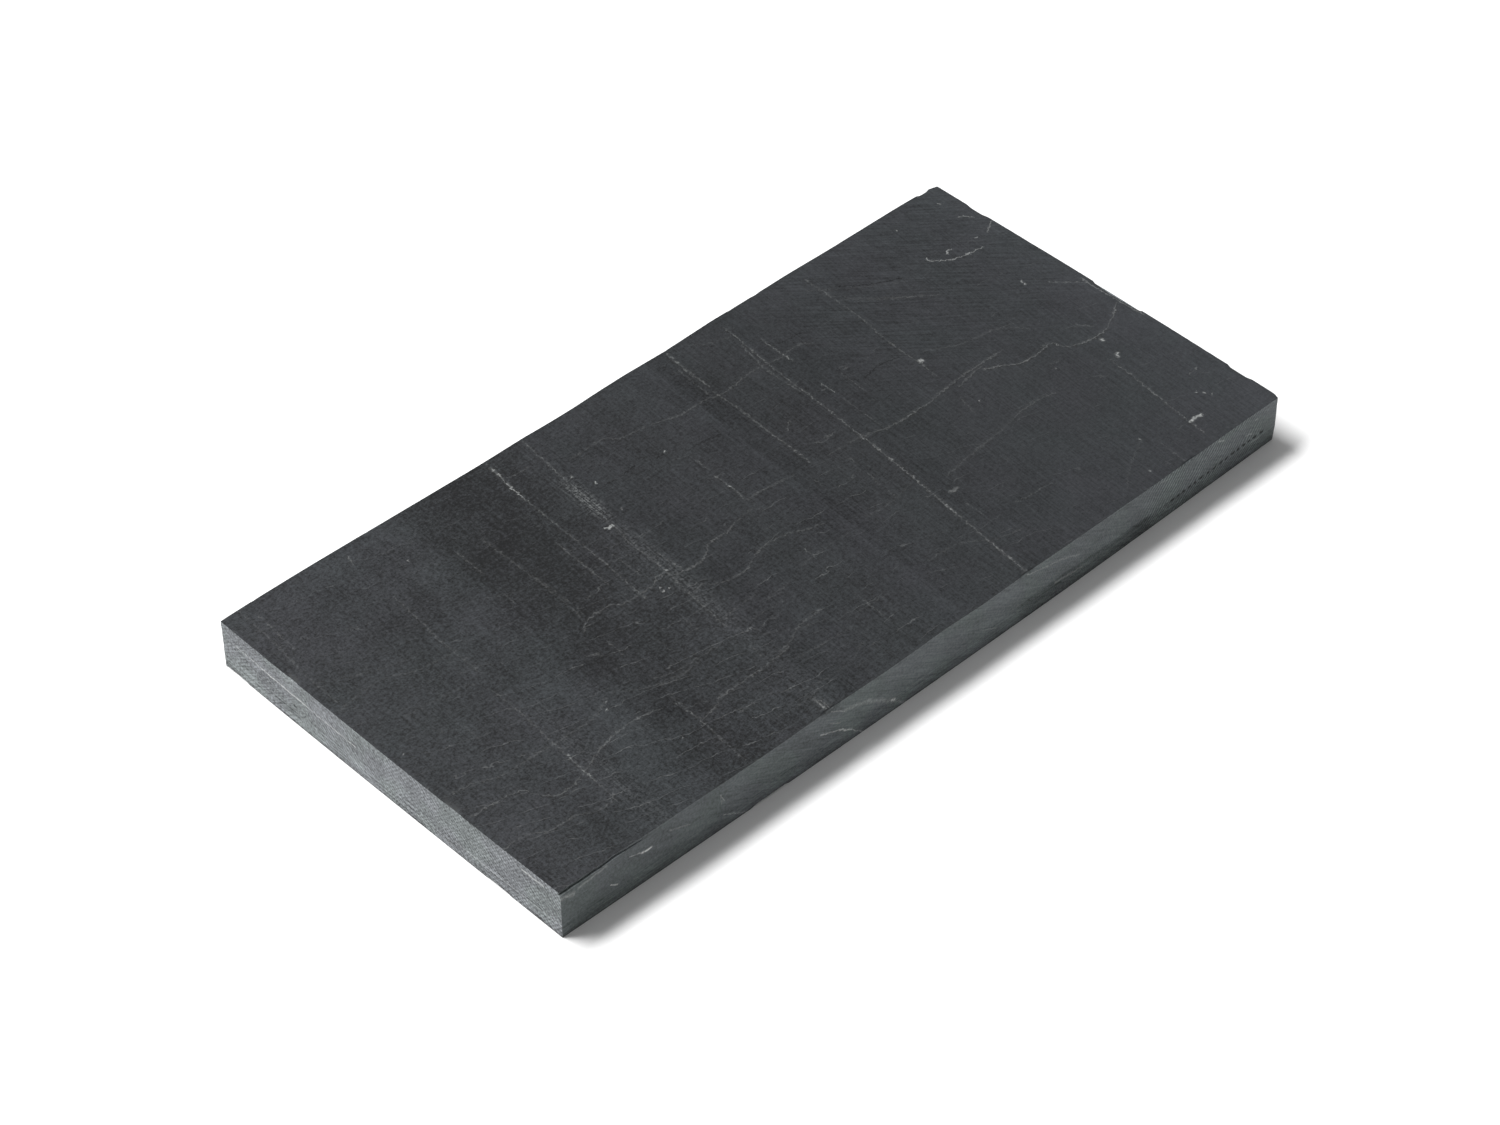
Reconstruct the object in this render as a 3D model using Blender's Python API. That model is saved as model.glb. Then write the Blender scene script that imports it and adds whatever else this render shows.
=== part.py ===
"""A riven slate paving slab, 600 x 300 mm: one natural piece of stone.

The stone is split from the block along its cleavage, which leaves the wavy upper face, and is then
sawn to a rectangle. X runs along the slab, Y across it and Z up. The origin is at the middle of the
flat bed that the slab rests on.
"""
import math

import bmesh
import bpy
from mathutils import Euler, Matrix, Vector, noise

# ---- driving dimensions, in metres ----
LENGTH = 0.603
WIDTH = 0.300
THICKNESS = 0.0355

# the blank is cut into cells, small enough to carry the waves of the split face
CELLS_ALONG = 64
CELLS_ACROSS = 32
SPALL_TOP = 0.0135
FLAKE_BED = 0.0332
LAYER_HEIGHTS = (0.006, SPALL_TOP, 0.021, 0.028)

# the sawn long sides bow outwards, most at the foot
BOW_AT_FOOT = 0.0023
BOW_AT_TOP = 0.0010
BOW_FULLNESS = 0.8
BACK_BOW_PLACE = 0.030
BACK_BOW_HALF = 0.150
BACK_HOLLOW = 0.0008
BACK_HOLLOW_PLACE = -0.040
BACK_HOLLOW_HALF = 0.110
END_BOW = 0.0005
END_WANDER = 0.0003
END_WANDER_LENGTH = 0.350

# below SPALL_TOP the front foot leans in, from SPALL_START to the right end
SPALL_START = 0.076
SPALL_DEPTH = 0.0013

# swells that cross the split face, each given by its place on the middle line, half width and height;
# they lean by SWELL_LEAN in X for each metre of Y
SWELL_LEAN = 0.069
SWELLS = (
    (-0.225, 0.045, 0.0006),
    (-0.130, 0.036, -0.0006),
    (-0.078, 0.016, 0.0005),
    (-0.032, 0.024, -0.0004),
    (0.010, 0.018, 0.0005),
    (0.046, 0.018, -0.0006),
    (0.088, 0.012, 0.0004),
    (0.190, 0.050, -0.0004),
    (0.275, 0.030, 0.0003),
)
# long swells along the rear edge, fading out towards the front
REAR_SWELLS = (
    (-0.265, 0.050, 0.0010),
    (-0.045, 0.090, -0.0004),
    (0.090, 0.070, 0.0004),
    (0.165, 0.030, 0.0008),
    (0.230, 0.050, 0.0007),
    (0.300, 0.022, -0.0008),
)

# cleavage steps: the sheet in front of each wavy line stands proud of the one behind it
STEP_RUN = 0.009
STEP_BACKING = 0.054
STEP_FADE = 0.020
CLEAVAGE_STEPS = (
    (0.0006, ((-0.060, 0.115), (-0.010, 0.106), (0.030, 0.096), (0.063, 0.093), (0.116, 0.095), (0.127, 0.090))),
    (0.0005, ((-0.137, -0.002), (-0.100, -0.004), (-0.065, -0.009), (-0.030, 0.000))),
    (0.0006, ((-0.085, -0.027), (-0.050, -0.033), (-0.018, -0.025), (0.005, -0.033), (0.016, -0.036))),
    (0.0007, ((-0.300, -0.086), (-0.247, -0.098), (-0.210, -0.083), (-0.167, -0.080), (-0.152, -0.105),
              (-0.125, -0.099), (-0.080, -0.096), (-0.038, -0.088))),
    (0.0005, ((-0.290, -0.105), (-0.245, -0.117), (-0.185, -0.112))),
    (0.0006, ((0.090, -0.060), (0.125, -0.053), (0.185, -0.047), (0.208, -0.051))),
    (0.0008, ((0.189, -0.003), (0.215, -0.017), (0.245, -0.027), (0.268, -0.031), (0.297, -0.014))),
)

# fine unevenness of the split face
GRAIN_SIZE = 0.035
GRAIN_HEIGHT = 0.00022

# a thin sheet has come off the front edge at its left end
FLAKE_END = -0.226
FLAKE_SETBACK = 0.0016
FLAKE_TAPER = 0.25
FLAKE_WAVER = 0.0007
FLAKE_WAVES = 6.0
FLAKE_CUTS = 14

# corners lost to knocks: how far each break reaches along X and along Y
RIGHT_CORNER_BREAK = (0.0026, 0.0056)
LEFT_CORNER_BREAK = (0.0007, 0.0008)
REAR_CORNER_BREAK = (0.0065, 0.0018)
BREAK_ROUGHNESS = 0.0004
BREAK_GRAIN = 0.0053
BREAK_BLOCK = 0.030

# scallops knocked off the edges: the place on the edge, half length, depth, and the way the edge runs
END = LENGTH / 2 - 0.0002
SIDE = WIDTH / 2 + 0.0010
FOOT_SIDE = WIDTH / 2 + 0.0015
TOP_SCALLOPS = (
    ((END, -0.012, THICKNESS), 0.024, 0.0022, "Y"),
    ((END, 0.112, THICKNESS), 0.010, 0.0012, "Y"),
    ((END, -0.116, THICKNESS), 0.010, 0.0014, "Y"),
    ((0.289, SIDE, THICKNESS), 0.006, 0.0018, "X"),
    ((0.070, -SIDE, THICKNESS), 0.005, 0.0013, "X"),
    ((0.216, -SIDE, THICKNESS), 0.008, 0.0013, "X"),
    ((-0.094, -SIDE, THICKNESS), 0.006, 0.0014, "X"),
    ((-END, 0.083, THICKNESS), 0.006, 0.0012, "Y"),
    ((-END, -0.060, THICKNESS), 0.009, 0.0012, "Y"),
    ((-0.190, SIDE, THICKNESS), 0.012, 0.0016, "X"),
    ((0.135, SIDE, THICKNESS), 0.010, 0.0012, "X"),
)
FOOT_SCALLOPS = (
    ((-END, 0.138, 0.0), 0.010, 0.0013, "Y"),
    ((-END, -0.096, 0.0), 0.012, 0.0008, "Y"),
    ((-0.142, -FOOT_SIDE, 0.0), 0.014, 0.0014, "X"),
    ((END, -0.110, 0.0), 0.020, 0.0034, "Y"),
    ((END, 0.055, 0.0), 0.020, 0.0026, "Y"),
    ((0.125, FOOT_SIDE, 0.0), 0.026, 0.0034, "X"),
    ((-0.205, FOOT_SIDE, 0.0), 0.018, 0.0026, "X"),
)
SCALLOP_REACH = 1.5
SCALLOP_LUMPS = 0.10
SCALLOP_LUMP_SCALE = 1.7
SEED_SPREAD = 50.0

SLATE_COLOUR = (0.075, 0.082, 0.088, 1.0)
SLATE_ROUGHNESS = 0.62
TINY = 1e-5


def clear_scene():
    """Remove whatever the file opened with."""
    for item in list(bpy.data.objects):
        bpy.data.objects.remove(item, do_unlink=True)


def new_collection(name):
    """A collection under the scene's own."""
    group = bpy.data.collections.new(name)
    bpy.context.scene.collection.children.link(group)
    return group


def slate_material():
    """Dull grey stone."""
    stone = bpy.data.materials.new("slate")
    stone.use_nodes = True
    shader = stone.node_tree.nodes["Principled BSDF"]
    shader.inputs["Base Color"].default_value = SLATE_COLOUR
    shader.inputs["Roughness"].default_value = SLATE_ROUGHNESS
    shader.inputs["Metallic"].default_value = 0.0
    return stone


def ease(value):
    """A smooth rise from 0 to 1."""
    value = min(max(value, 0.0), 1.0)
    return value * value * (3.0 - 2.0 * value)


def hump(offset, half_width):
    """A round-topped bump, 1 at its middle."""
    return math.exp(-(offset / half_width) ** 2)


def line_across(points, x):
    """Y of a wavy line at x, eased from point to point."""
    for (x0, y0), (x1, y1) in zip(points, points[1:]):
        if x <= x1:
            return y0 + (y1 - y0) * ease((x - x0) / (x1 - x0))
    return points[-1][1]


def step_height(rise, points, x, y):
    """Height of one cleavage step: full just in front of its line, fading out beyond and at its ends."""
    inside = ease((x - points[0][0]) / STEP_FADE) * ease((points[-1][0] - x) / STEP_FADE)
    in_front = line_across(points, x) - y
    lip = ease(in_front / STEP_RUN + 0.5) * (1.0 - ease(in_front / STEP_BACKING))
    return rise * inside * lip


def split_face_height(x, y):
    """Height of the split face above the mean thickness."""
    across = x - SWELL_LEAN * y
    height = sum(rise * hump(across - middle, half) for middle, half, rise in SWELLS)
    rear = ((y + WIDTH / 2) / WIDTH) ** 2
    height += rear * sum(rise * hump(x - middle, half) for middle, half, rise in REAR_SWELLS)
    height += sum(step_height(rise, points, x, y) for rise, points in CLEAVAGE_STEPS)
    height += GRAIN_HEIGHT * noise.noise(Vector((x, y, 0.0)) / GRAIN_SIZE)
    return height


def front_outset(x, up):
    """How far the front side stands outside its straight line, at a share up of the height."""
    bow = BOW_AT_FOOT + (BOW_AT_TOP - BOW_AT_FOOT) * ease(up)
    return bow * max(0.0, math.cos(math.pi * x / LENGTH)) ** BOW_FULLNESS


def spall_inset(x, z):
    """How far the broken front foot leans in."""
    growth = ease((x - SPALL_START) / (LENGTH / 2 - SPALL_START))
    return SPALL_DEPTH * growth * max(0.0, 1.0 - z / SPALL_TOP)


def back_outset(x, up):
    """How far the rear side stands outside its straight line: out at the foot, hollow at the top."""
    foot = BOW_AT_FOOT * hump(x - BACK_BOW_PLACE, BACK_BOW_HALF)
    top = -BACK_HOLLOW * hump(x - BACK_HOLLOW_PLACE, BACK_HOLLOW_HALF)
    return foot + (top - foot) * ease(up)


def end_outset(y, z):
    """The sawn ends bow and wander by a few tenths of a millimetre."""
    bow = END_BOW * math.cos(math.pi * y / WIDTH)
    return bow + END_WANDER * math.sin(2.0 * math.pi * (y + 3.0 * z) / END_WANDER_LENGTH)


def cut_blank():
    """The sawn block, cut into cells by planes along each direction."""
    cells = bmesh.new()
    bmesh.ops.create_cube(cells, size=1.0, matrix=Matrix.Translation((0.0, 0.0, 0.5)))
    bmesh.ops.scale(cells, vec=(LENGTH, WIDTH, THICKNESS), verts=cells.verts)
    planes = [((LENGTH * (i / CELLS_ALONG - 0.5), 0.0, 0.0), (1, 0, 0)) for i in range(1, CELLS_ALONG)]
    planes += [((0.0, WIDTH * (i / CELLS_ACROSS - 0.5), 0.0), (0, 1, 0)) for i in range(1, CELLS_ACROSS)]
    planes += [((0.0, 0.0, height), (0, 0, 1)) for height in LAYER_HEIGHTS]
    for point, direction in planes:
        everything = cells.verts[:] + cells.edges[:] + cells.faces[:]
        bmesh.ops.bisect_plane(cells, geom=everything, dist=TINY / 100, plane_co=point, plane_no=direction)
    return cells


def shape_blank(cells):
    """Move the block's points on to the split face and the bowed sides."""
    for point in cells.verts:
        x, y, z = point.co
        up = z / THICKNESS
        shift = Vector((0.0, 0.0, split_face_height(x, y) * ease(up)))
        if y < -WIDTH / 2 + TINY:
            shift.y = spall_inset(x, z) - front_outset(x, up)
        if y > WIDTH / 2 - TINY:
            shift.y = back_outset(x, up)
        if abs(x) > LENGTH / 2 - TINY:
            shift.x = math.copysign(end_outset(y, z), x)
        point.co += shift


def centre_on_bed(cells):
    """Bring the middle of the outline over the origin."""
    for axis in (0, 1):
        places = [point.co[axis] for point in cells.verts]
        middle = (max(places) + min(places)) / 2
        for point in cells.verts:
            point.co[axis] -= middle


def join_bed(cells):
    """Make the flat bed one face."""
    bed = [face for face in cells.faces if face.calc_center_median().z < TINY]
    bmesh.ops.dissolve_faces(cells, faces=bed, use_verts=False)


def add_object(name, cells, group):
    """Put a bmesh in the scene as an object of its own."""
    mesh = bpy.data.meshes.new(name)
    cells.to_mesh(mesh)
    cells.free()
    item = bpy.data.objects.new(name, mesh)
    group.objects.link(item)
    return item


def add_cutter(name, cells, place, group):
    """A cutter, shown as wire and left out of renders."""
    bmesh.ops.translate(cells, vec=place, verts=cells.verts)
    cutter = add_object(name, cells, group)
    cutter.hide_render = True
    cutter.display_type = "WIRE"
    return cutter


def lost_corner(name, corner, reach, group):
    """An upright block with rough faces, set square across a corner so that it takes off its tip."""
    block = bmesh.new()
    bmesh.ops.create_cube(block, size=1.0)
    bmesh.ops.scale(block, vec=(BREAK_BLOCK, BREAK_BLOCK, 2 * THICKNESS), verts=block.verts)
    bmesh.ops.subdivide_edges(block, edges=block.edges[:], cuts=6, use_grid_fill=True)
    start = Vector((corner[0], corner[1], 0.0)) * SEED_SPREAD
    for point in block.verts:
        point.co.x += BREAK_ROUGHNESS * noise.noise(point.co / BREAK_GRAIN + start)
    outward = Vector((math.copysign(1 / reach[0], corner[0]), math.copysign(1 / reach[1], corner[1]), 0.0))
    depth = 1.0 / outward.length
    outward.normalize()
    turn = Euler((0.0, 0.0, math.atan2(outward.y, outward.x))).to_matrix()
    bmesh.ops.rotate(block, matrix=turn, verts=block.verts)
    middle = Vector((corner[0], corner[1], THICKNESS / 2)) + outward * (BREAK_BLOCK / 2 - depth)
    return add_cutter(name, block, middle, group)


def lost_scallop(name, place, half_length, depth, runs_along, group):
    """A squashed, lumpy ball that bites a shallow scallop out of an edge."""
    ball = bmesh.new()
    bmesh.ops.create_icosphere(ball, subdivisions=2, radius=1.0)
    start = Vector(place) * SEED_SPREAD
    for point in ball.verts:
        point.co *= 1.0 + SCALLOP_LUMPS * noise.noise(point.co * SCALLOP_LUMP_SCALE + start)
    across = depth * SCALLOP_REACH
    half_sizes = (half_length, across, depth) if runs_along == "X" else (across, half_length, depth)
    bmesh.ops.scale(ball, vec=half_sizes, verts=ball.verts)
    return add_cutter(name, ball, place, group)


def lost_flake(name, group):
    """The sheet missing from the front edge: a flat-bottomed bar with a wavering inner face."""
    start = -LENGTH / 2 - BREAK_BLOCK
    run = FLAKE_END - start
    bar = bmesh.new()
    bmesh.ops.create_cube(bar, size=1.0, matrix=Matrix.Translation((0.5, -0.5, 0.5)))
    bmesh.ops.scale(bar, vec=(run, BREAK_BLOCK, BREAK_BLOCK), verts=bar.verts)
    lengthwise = [edge for edge in bar.edges if abs(edge.verts[0].co.x - edge.verts[1].co.x) > run / 2]
    bmesh.ops.subdivide_edges(bar, edges=lengthwise, cuts=FLAKE_CUTS)
    for point in bar.verts:
        if point.co.y > -TINY:
            along = point.co.x / run
            waver = FLAKE_WAVER * noise.noise(Vector((along * FLAKE_WAVES, 0.5, 0.5)))
            point.co.y += FLAKE_SETBACK * ease((1.0 - along) / FLAKE_TAPER) + waver
    return add_cutter(name, bar, (start, -WIDTH / 2, FLAKE_BED), group)


def make_cutters(group):
    """Every piece that is lost from the slab."""
    half_long, half_wide = LENGTH / 2, WIDTH / 2
    return [
        lost_flake("lost_flake", group),
        lost_corner("lost_corner_right", (half_long, -half_wide), RIGHT_CORNER_BREAK, group),
        lost_corner("lost_corner_left", (-half_long, half_wide), LEFT_CORNER_BREAK, group),
        lost_corner("lost_corner_rear", (half_long, half_wide), REAR_CORNER_BREAK, group),
    ] + [
        lost_scallop("lost_scallop_%02d" % number, *scallop, group)
        for number, scallop in enumerate(TOP_SCALLOPS + FOOT_SCALLOPS, start=1)
    ]


def build():
    """The slab, with its losses cut by Boolean modifiers."""
    clear_scene()
    stone_group = new_collection("slate_slab")
    cutter_group = new_collection("slate_slab_cutters")
    cells = cut_blank()
    shape_blank(cells)
    centre_on_bed(cells)
    join_bed(cells)
    slab = add_object("slate_slab", cells, stone_group)
    slab.data.materials.append(slate_material())
    for cutter in make_cutters(cutter_group):
        loss = slab.modifiers.new(cutter.name, "BOOLEAN")
        loss.operation = "DIFFERENCE"
        loss.solver = "EXACT"
        loss.object = cutter


build()
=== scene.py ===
import math
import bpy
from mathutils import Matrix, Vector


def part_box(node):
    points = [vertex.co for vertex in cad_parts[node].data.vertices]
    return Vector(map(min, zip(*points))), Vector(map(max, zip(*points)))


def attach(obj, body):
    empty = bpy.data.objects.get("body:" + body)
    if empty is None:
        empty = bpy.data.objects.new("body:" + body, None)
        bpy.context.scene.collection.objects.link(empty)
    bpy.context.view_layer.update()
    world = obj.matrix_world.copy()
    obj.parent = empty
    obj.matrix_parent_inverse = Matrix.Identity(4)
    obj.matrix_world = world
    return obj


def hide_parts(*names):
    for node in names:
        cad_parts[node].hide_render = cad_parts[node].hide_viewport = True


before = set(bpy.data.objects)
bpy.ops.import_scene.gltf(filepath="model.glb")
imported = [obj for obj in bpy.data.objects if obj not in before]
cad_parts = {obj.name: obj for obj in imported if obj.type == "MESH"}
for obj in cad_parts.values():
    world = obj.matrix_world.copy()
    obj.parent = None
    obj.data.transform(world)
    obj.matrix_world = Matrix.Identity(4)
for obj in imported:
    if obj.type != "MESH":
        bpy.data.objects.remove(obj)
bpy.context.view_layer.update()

from types import SimpleNamespace

import bpy
from mathutils import Matrix, Vector

# ---------------------------------------------------------------------------------------------------
# THE SLAB
# One natural piece of slate, split from the block along its cleavage and sawn to a rectangle. Its wavy face
# is crossed by swells and by the ragged ends of thin sheets, and knocks have taken scallops off its rims.
# Lengths here are in millimetres, and MM turns them into metres.
# ---------------------------------------------------------------------------------------------------
MM = 0.001
_, slab_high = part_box("slate_slab")

# what stands out past the sawn rectangle: the bow of the ends, the foot and the top, and the highest swell
END_BOW = 0.8
FOOT_BOW = 2.3
TOP_BOW = 1.0
BOW_FULLNESS = 0.8
CROWN = 1.5
INSET = 0.06
LENGTH = 2 * (slab_high.x / MM - END_BOW - INSET)
WIDTH = 2 * (slab_high.y / MM - FOOT_BOW - INSET)
THICKNESS = slab_high.z / MM - CROWN
HALF_LENGTH, HALF_WIDTH, HALF_UP = LENGTH / 2, WIDTH / 2, THICKNESS / 2
CELLS_ALONG, CELLS_ACROSS, CELLS_UP = 264, 132, 16


class Wire:
    """A value that runs through a node tree: arithmetic on it adds Math nodes."""

    def __init__(self, tree, socket):
        self.tree = tree
        self.socket = socket

    def maths(self, operation, *others):
        """A Math node fed with this value and the others."""
        node = self.tree.nodes.new("ShaderNodeMath")
        node.operation = operation
        for slot, value in zip(node.inputs, (self, *others)):
            plug(self.tree, value, slot)
        return Wire(self.tree, node.outputs[0])

    def vectors(self, operation, *others, output=0):
        """A Vector Math node fed with this value and the others."""
        node = self.tree.nodes.new("ShaderNodeVectorMath")
        node.operation = operation
        for slot, value in zip(node.inputs, (self, *others)):
            plug(self.tree, value, slot)
        return Wire(self.tree, node.outputs[output])

    def __add__(self, other):
        return self.maths("ADD", other)

    def __sub__(self, other):
        return self.maths("SUBTRACT", other)

    def __rsub__(self, other):
        return constant(self.tree, other).maths("SUBTRACT", self)

    def __mul__(self, other):
        return self.maths("MULTIPLY", other)

    def __truediv__(self, other):
        return self.maths("DIVIDE", other)

    def __pow__(self, other):
        return self.maths("POWER", other)

    __radd__ = __add__
    __rmul__ = __mul__

    def size(self):
        return self.maths("ABSOLUTE")

    def below(self, other):
        return self.maths("LESS_THAN", other)

    def above(self, other):
        return self.maths("GREATER_THAN", other)

    def at_least(self, other):
        return self.maths("MAXIMUM", other)

    def at_most(self, other):
        return self.maths("MINIMUM", other)


def plug(tree, value, slot):
    """Put a wire or a plain value into a node's input."""
    if isinstance(value, Wire):
        tree.links.new(value.socket, slot)
    else:
        slot.default_value = value


def constant(tree, number):
    """A number that starts a sum."""
    node = tree.nodes.new("ShaderNodeValue")
    node.outputs[0].default_value = number
    return Wire(tree, node.outputs[0])


def add(tree, kind, inputs=None, **settings):
    """Add a node, set its options and feed its inputs by name."""
    node = tree.nodes.new(kind)
    for name, value in settings.items():
        setattr(node, name, value)
    for name, value in (inputs or {}).items():
        plug(tree, value, node.inputs[name])
    return node


def wire(tree, kind, inputs=None, output=0, **settings):
    """Add a node and take the wire that leaves it."""
    return Wire(tree, add(tree, kind, inputs, **settings).outputs[output])


def new_group(name, kind, inputs, outputs):
    """A node tree with named inputs and outputs, and the wires that come into it."""
    group = bpy.data.node_groups.new(name, kind)
    for sockets, side in ((inputs, "INPUT"), (outputs, "OUTPUT")):
        for socket, carries in sockets.items():
            group.interface.new_socket(socket, in_out=side, socket_type="NodeSocket" + carries)
    given = group.nodes.new("NodeGroupInput").outputs
    return group, [Wire(group, given[socket]) for socket in inputs]


def split(tree, place):
    """The three parts of a place."""
    node = add(tree, "ShaderNodeSeparateXYZ", {"Vector": place})
    return [Wire(tree, output) for output in node.outputs]


def join(tree, x, y, z):
    """A place from its three parts."""
    return wire(tree, "ShaderNodeCombineXYZ", {"X": x, "Y": y, "Z": z})


def span(value, low, high, to_low=0.0, to_high=1.0, soft=True):
    """Carry a range of values over to another, held at both ends."""
    kind = "SMOOTHSTEP" if soft else "LINEAR"
    node = add(value.tree, "ShaderNodeMapRange", interpolation_type=kind)
    for slot, number in zip(node.inputs, (value, low, high, to_low, to_high)):
        plug(value.tree, number, slot)
    return Wire(value.tree, node.outputs[0])


def between(value, start, end, fade):
    """1 from start to end, fading in and out inside them."""
    return span(value, start, start + fade) * span(value, end, end - fade)


def hump(value, middle, half):
    """A round-topped bump, 1 at its middle."""
    offset = (value - middle) / half
    return (offset * offset * -1.0).maths("EXPONENT")


SEED_SPREAD = (1.0, 1.7, 2.3)


def grain(tree, place, size, seed=0.0, detail=2.0, stretch=(1.0, 1.0, 1.0), flat=False, grit=0.5):
    """Even noise between -1 and 1 whose lumps are about the given size."""
    scale = tuple(1.0 / (size * part) for part in stretch)
    moved = place.vectors("MULTIPLY_ADD", scale, tuple(seed * part for part in SEED_SPREAD))
    inputs = {"Vector": moved, "Scale": 1.0, "Detail": detail, "Roughness": grit}
    noise = wire(tree, "ShaderNodeTexNoise", inputs, "Fac", noise_dimensions="2D" if flat else "3D")
    return noise * 2.0 - 1.0


def line_across(x, points):
    """Y of a wavy line at x, through its points."""
    (x_low, _), (x_high, _) = points[0], points[-1]
    margin = 1.0
    y_low = min(y for _, y in points) - margin
    y_high = max(y for _, y in points) + margin
    node = add(x.tree, "ShaderNodeFloatCurve", {"Value": span(x, x_low, x_high, soft=False)})
    curve = node.mapping.curves[0]
    while len(curve.points) < len(points):
        curve.points.new(0.5, 0.5)
    for knot, (px, py) in zip(curve.points, points):
        knot.location = ((px - x_low) / (x_high - x_low), (py - y_low) / (y_high - y_low))
        knot.handle_type = "AUTO_CLAMPED"
    node.mapping.update()
    return Wire(x.tree, node.outputs[0]) * (y_high - y_low) + y_low


# swells that cross the split face: place on the middle line, half width, height; they lean with Y.
# REAR_SWELLS fade out towards the front
SWELL_LEAN = 0.069
SWELLS = (
    (-225, 45, 0.6), (-130, 36, -0.6), (-78, 16, 0.5), (-32, 24, -0.4), (10, 18, 0.5), (46, 18, -0.6),
    (88, 12, 0.4), (190, 50, -0.4), (275, 30, 0.3),
)
REAR_SWELLS = (
    (-265, 50, 1.0), (-130, 30, 0.5), (-45, 90, -0.4), (-5, 22, 0.6), (90, 70, 0.4), (165, 30, 0.8),
    (230, 50, 0.7), (300, 22, -0.8),
)

# cleavage steps, where the sheet in front of a wavy line stands proud of the one behind it
STEP_RUN = 2.6
STEP_BACKING = 54.0
STEP_FADE = 20.0
CLEAVAGE_STEPS = (
    (0.55, ((-60, 115), (-10, 106), (30, 96), (63, 93), (116, 95), (127, 90))),
    (0.45, ((-137, -2), (-100, -4), (-65, -9), (-30, 0))),
    (0.55, ((-85, -27), (-50, -33), (-18, -25), (5, -33), (16, -36))),
    (0.6, ((-300, -86), (-247, -98), (-210, -83), (-167, -80), (-152, -105), (-125, -99), (-80, -96),
           (-38, -88))),
    (0.45, ((-290, -105), (-245, -117), (-185, -112))),
    (0.5, ((90, -60), (125, -53), (185, -47), (208, -51))),
    (0.7, ((189, -3), (215, -17), (245, -27), (268, -31), (297, -14))),
)
LUMP_SIZE = 35.0
LUMP_HEIGHT = 0.16
GRAIN_SIZE = 9.0
GRAIN_HEIGHT = 0.10


def split_face_height(tree, x, y, place):
    """Height of the split face above the mean thickness."""
    across = x - y * SWELL_LEAN
    height = constant(tree, 0.0)
    for middle, half, rise in SWELLS:
        height += hump(across, middle, half) * rise
    rear = (y / WIDTH + 0.5) ** 2
    for middle, half, rise in REAR_SWELLS:
        height += hump(x, middle, half) * rear * rise
    for rise, points in CLEAVAGE_STEPS:
        in_front = line_across(x, points) - y
        inside = between(x, points[0][0], points[-1][0], STEP_FADE)
        lip = span(in_front, -STEP_RUN / 2, STEP_RUN / 2) * span(in_front, STEP_BACKING, 0.0)
        height += inside * lip * rise
    height += grain(tree, place, LUMP_SIZE, seed=3.0) * LUMP_HEIGHT
    return height + grain(tree, place, GRAIN_SIZE, seed=8.0, stretch=(1.6, 1.0, 1.0)) * GRAIN_HEIGHT


# the sawn sides bow outwards, most at the foot, and the ends wander
REAR_BOW_PLACE, REAR_BOW_HALF = 30.0, 150.0
REAR_HOLLOW, REAR_HOLLOW_PLACE, REAR_HOLLOW_HALF = 0.8, -40.0, 110.0
END_BOW_MIDDLE = 0.6
END_WANDER, END_WANDER_LENGTH = 0.15, 350.0
SIDE_FADE = 20.0

# below SPALL_TOP the front foot leans in, from SPALL_START to the right end
SPALL_START, SPALL_TOP, SPALL_DEPTH = 76.0, 13.5, 1.3

# a thin sheet has come off the front rim at its left end
FLAKE_END, FLAKE_TAPER = -222.0, 50.0
FLAKE_SETBACK, FLAKE_REACH = 1.5, 8.0
FLAKE_WAVER, FLAKE_WAVE = 0.8, 11.0
FLAKE_BED, ROW_BELOW_BED, ROW_ABOVE_BED = 33.9, 2.0, 1.6

# scallops knocked off the rims: the place, the half length, the depth and the way the rim runs
TOP, FOOT = THICKNESS, 0.0
END = HALF_LENGTH - 0.2
SIDE = HALF_WIDTH + 1.0
FOOT_SIDE = HALF_WIDTH + 1.5
SCALLOP_REACH = 1.5
SCALLOP_ROUGHNESS, SCALLOP_LUMP = 0.25, 3.0
SCALLOPS = (
    ((END, -12, TOP), 24, 1.2, "Y"), ((END, 112, TOP), 10, 1.0, "Y"), ((END, -116, TOP), 10, 0.7, "Y"),
    ((289, SIDE, TOP), 6, 1.6, "X"), ((70, -SIDE, TOP), 5, 1.1, "X"), ((216, -SIDE, TOP), 8, 1.1, "X"),
    ((-94, -SIDE, TOP), 6, 1.2, "X"), ((-END, 83, TOP), 6, 0.7, "Y"), ((-END, -60, TOP), 9, 0.7, "Y"),
    ((-190, SIDE, TOP), 12, 0.9, "X"), ((135, SIDE, TOP), 10, 0.9, "X"), ((-END, 138, FOOT), 10, 1.3, "Y"),
    ((-END, -96, FOOT), 12, 0.4, "Y"), ((-142, -FOOT_SIDE, FOOT), 14, 0.8, "X"),
    ((END, -110, FOOT), 20, 3.4, "Y"), ((END, 55, FOOT), 20, 2.6, "Y"),
    ((125, FOOT_SIDE, FOOT), 26, 3.4, "X"), ((-205, FOOT_SIDE, FOOT), 18, 2.6, "X"),
)
# corners knocked off: which corner, and how far the break reaches along and across
BROKEN_CORNERS = (((1, -1), (1.6, 4.6)), ((-1, 1), (0.5, 0.6)), ((1, 1), (6.5, 1.8)))
BREAK_ROUGHNESS, BREAK_LUMP = 0.35, 4.0
RIM_WEAR = 0.02
RIM_CHIPS, RIM_CHIP_SIZE, RIM_CHIP_START = 0.35, 5.0, 0.22
SAWN_ROUGHNESS, SAWN_LUMP = 0.07, 5.0
ON_FACE = 0.01
SIDES = ("split face", "bed", "front side", "rear side", "left end", "right end")


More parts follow.
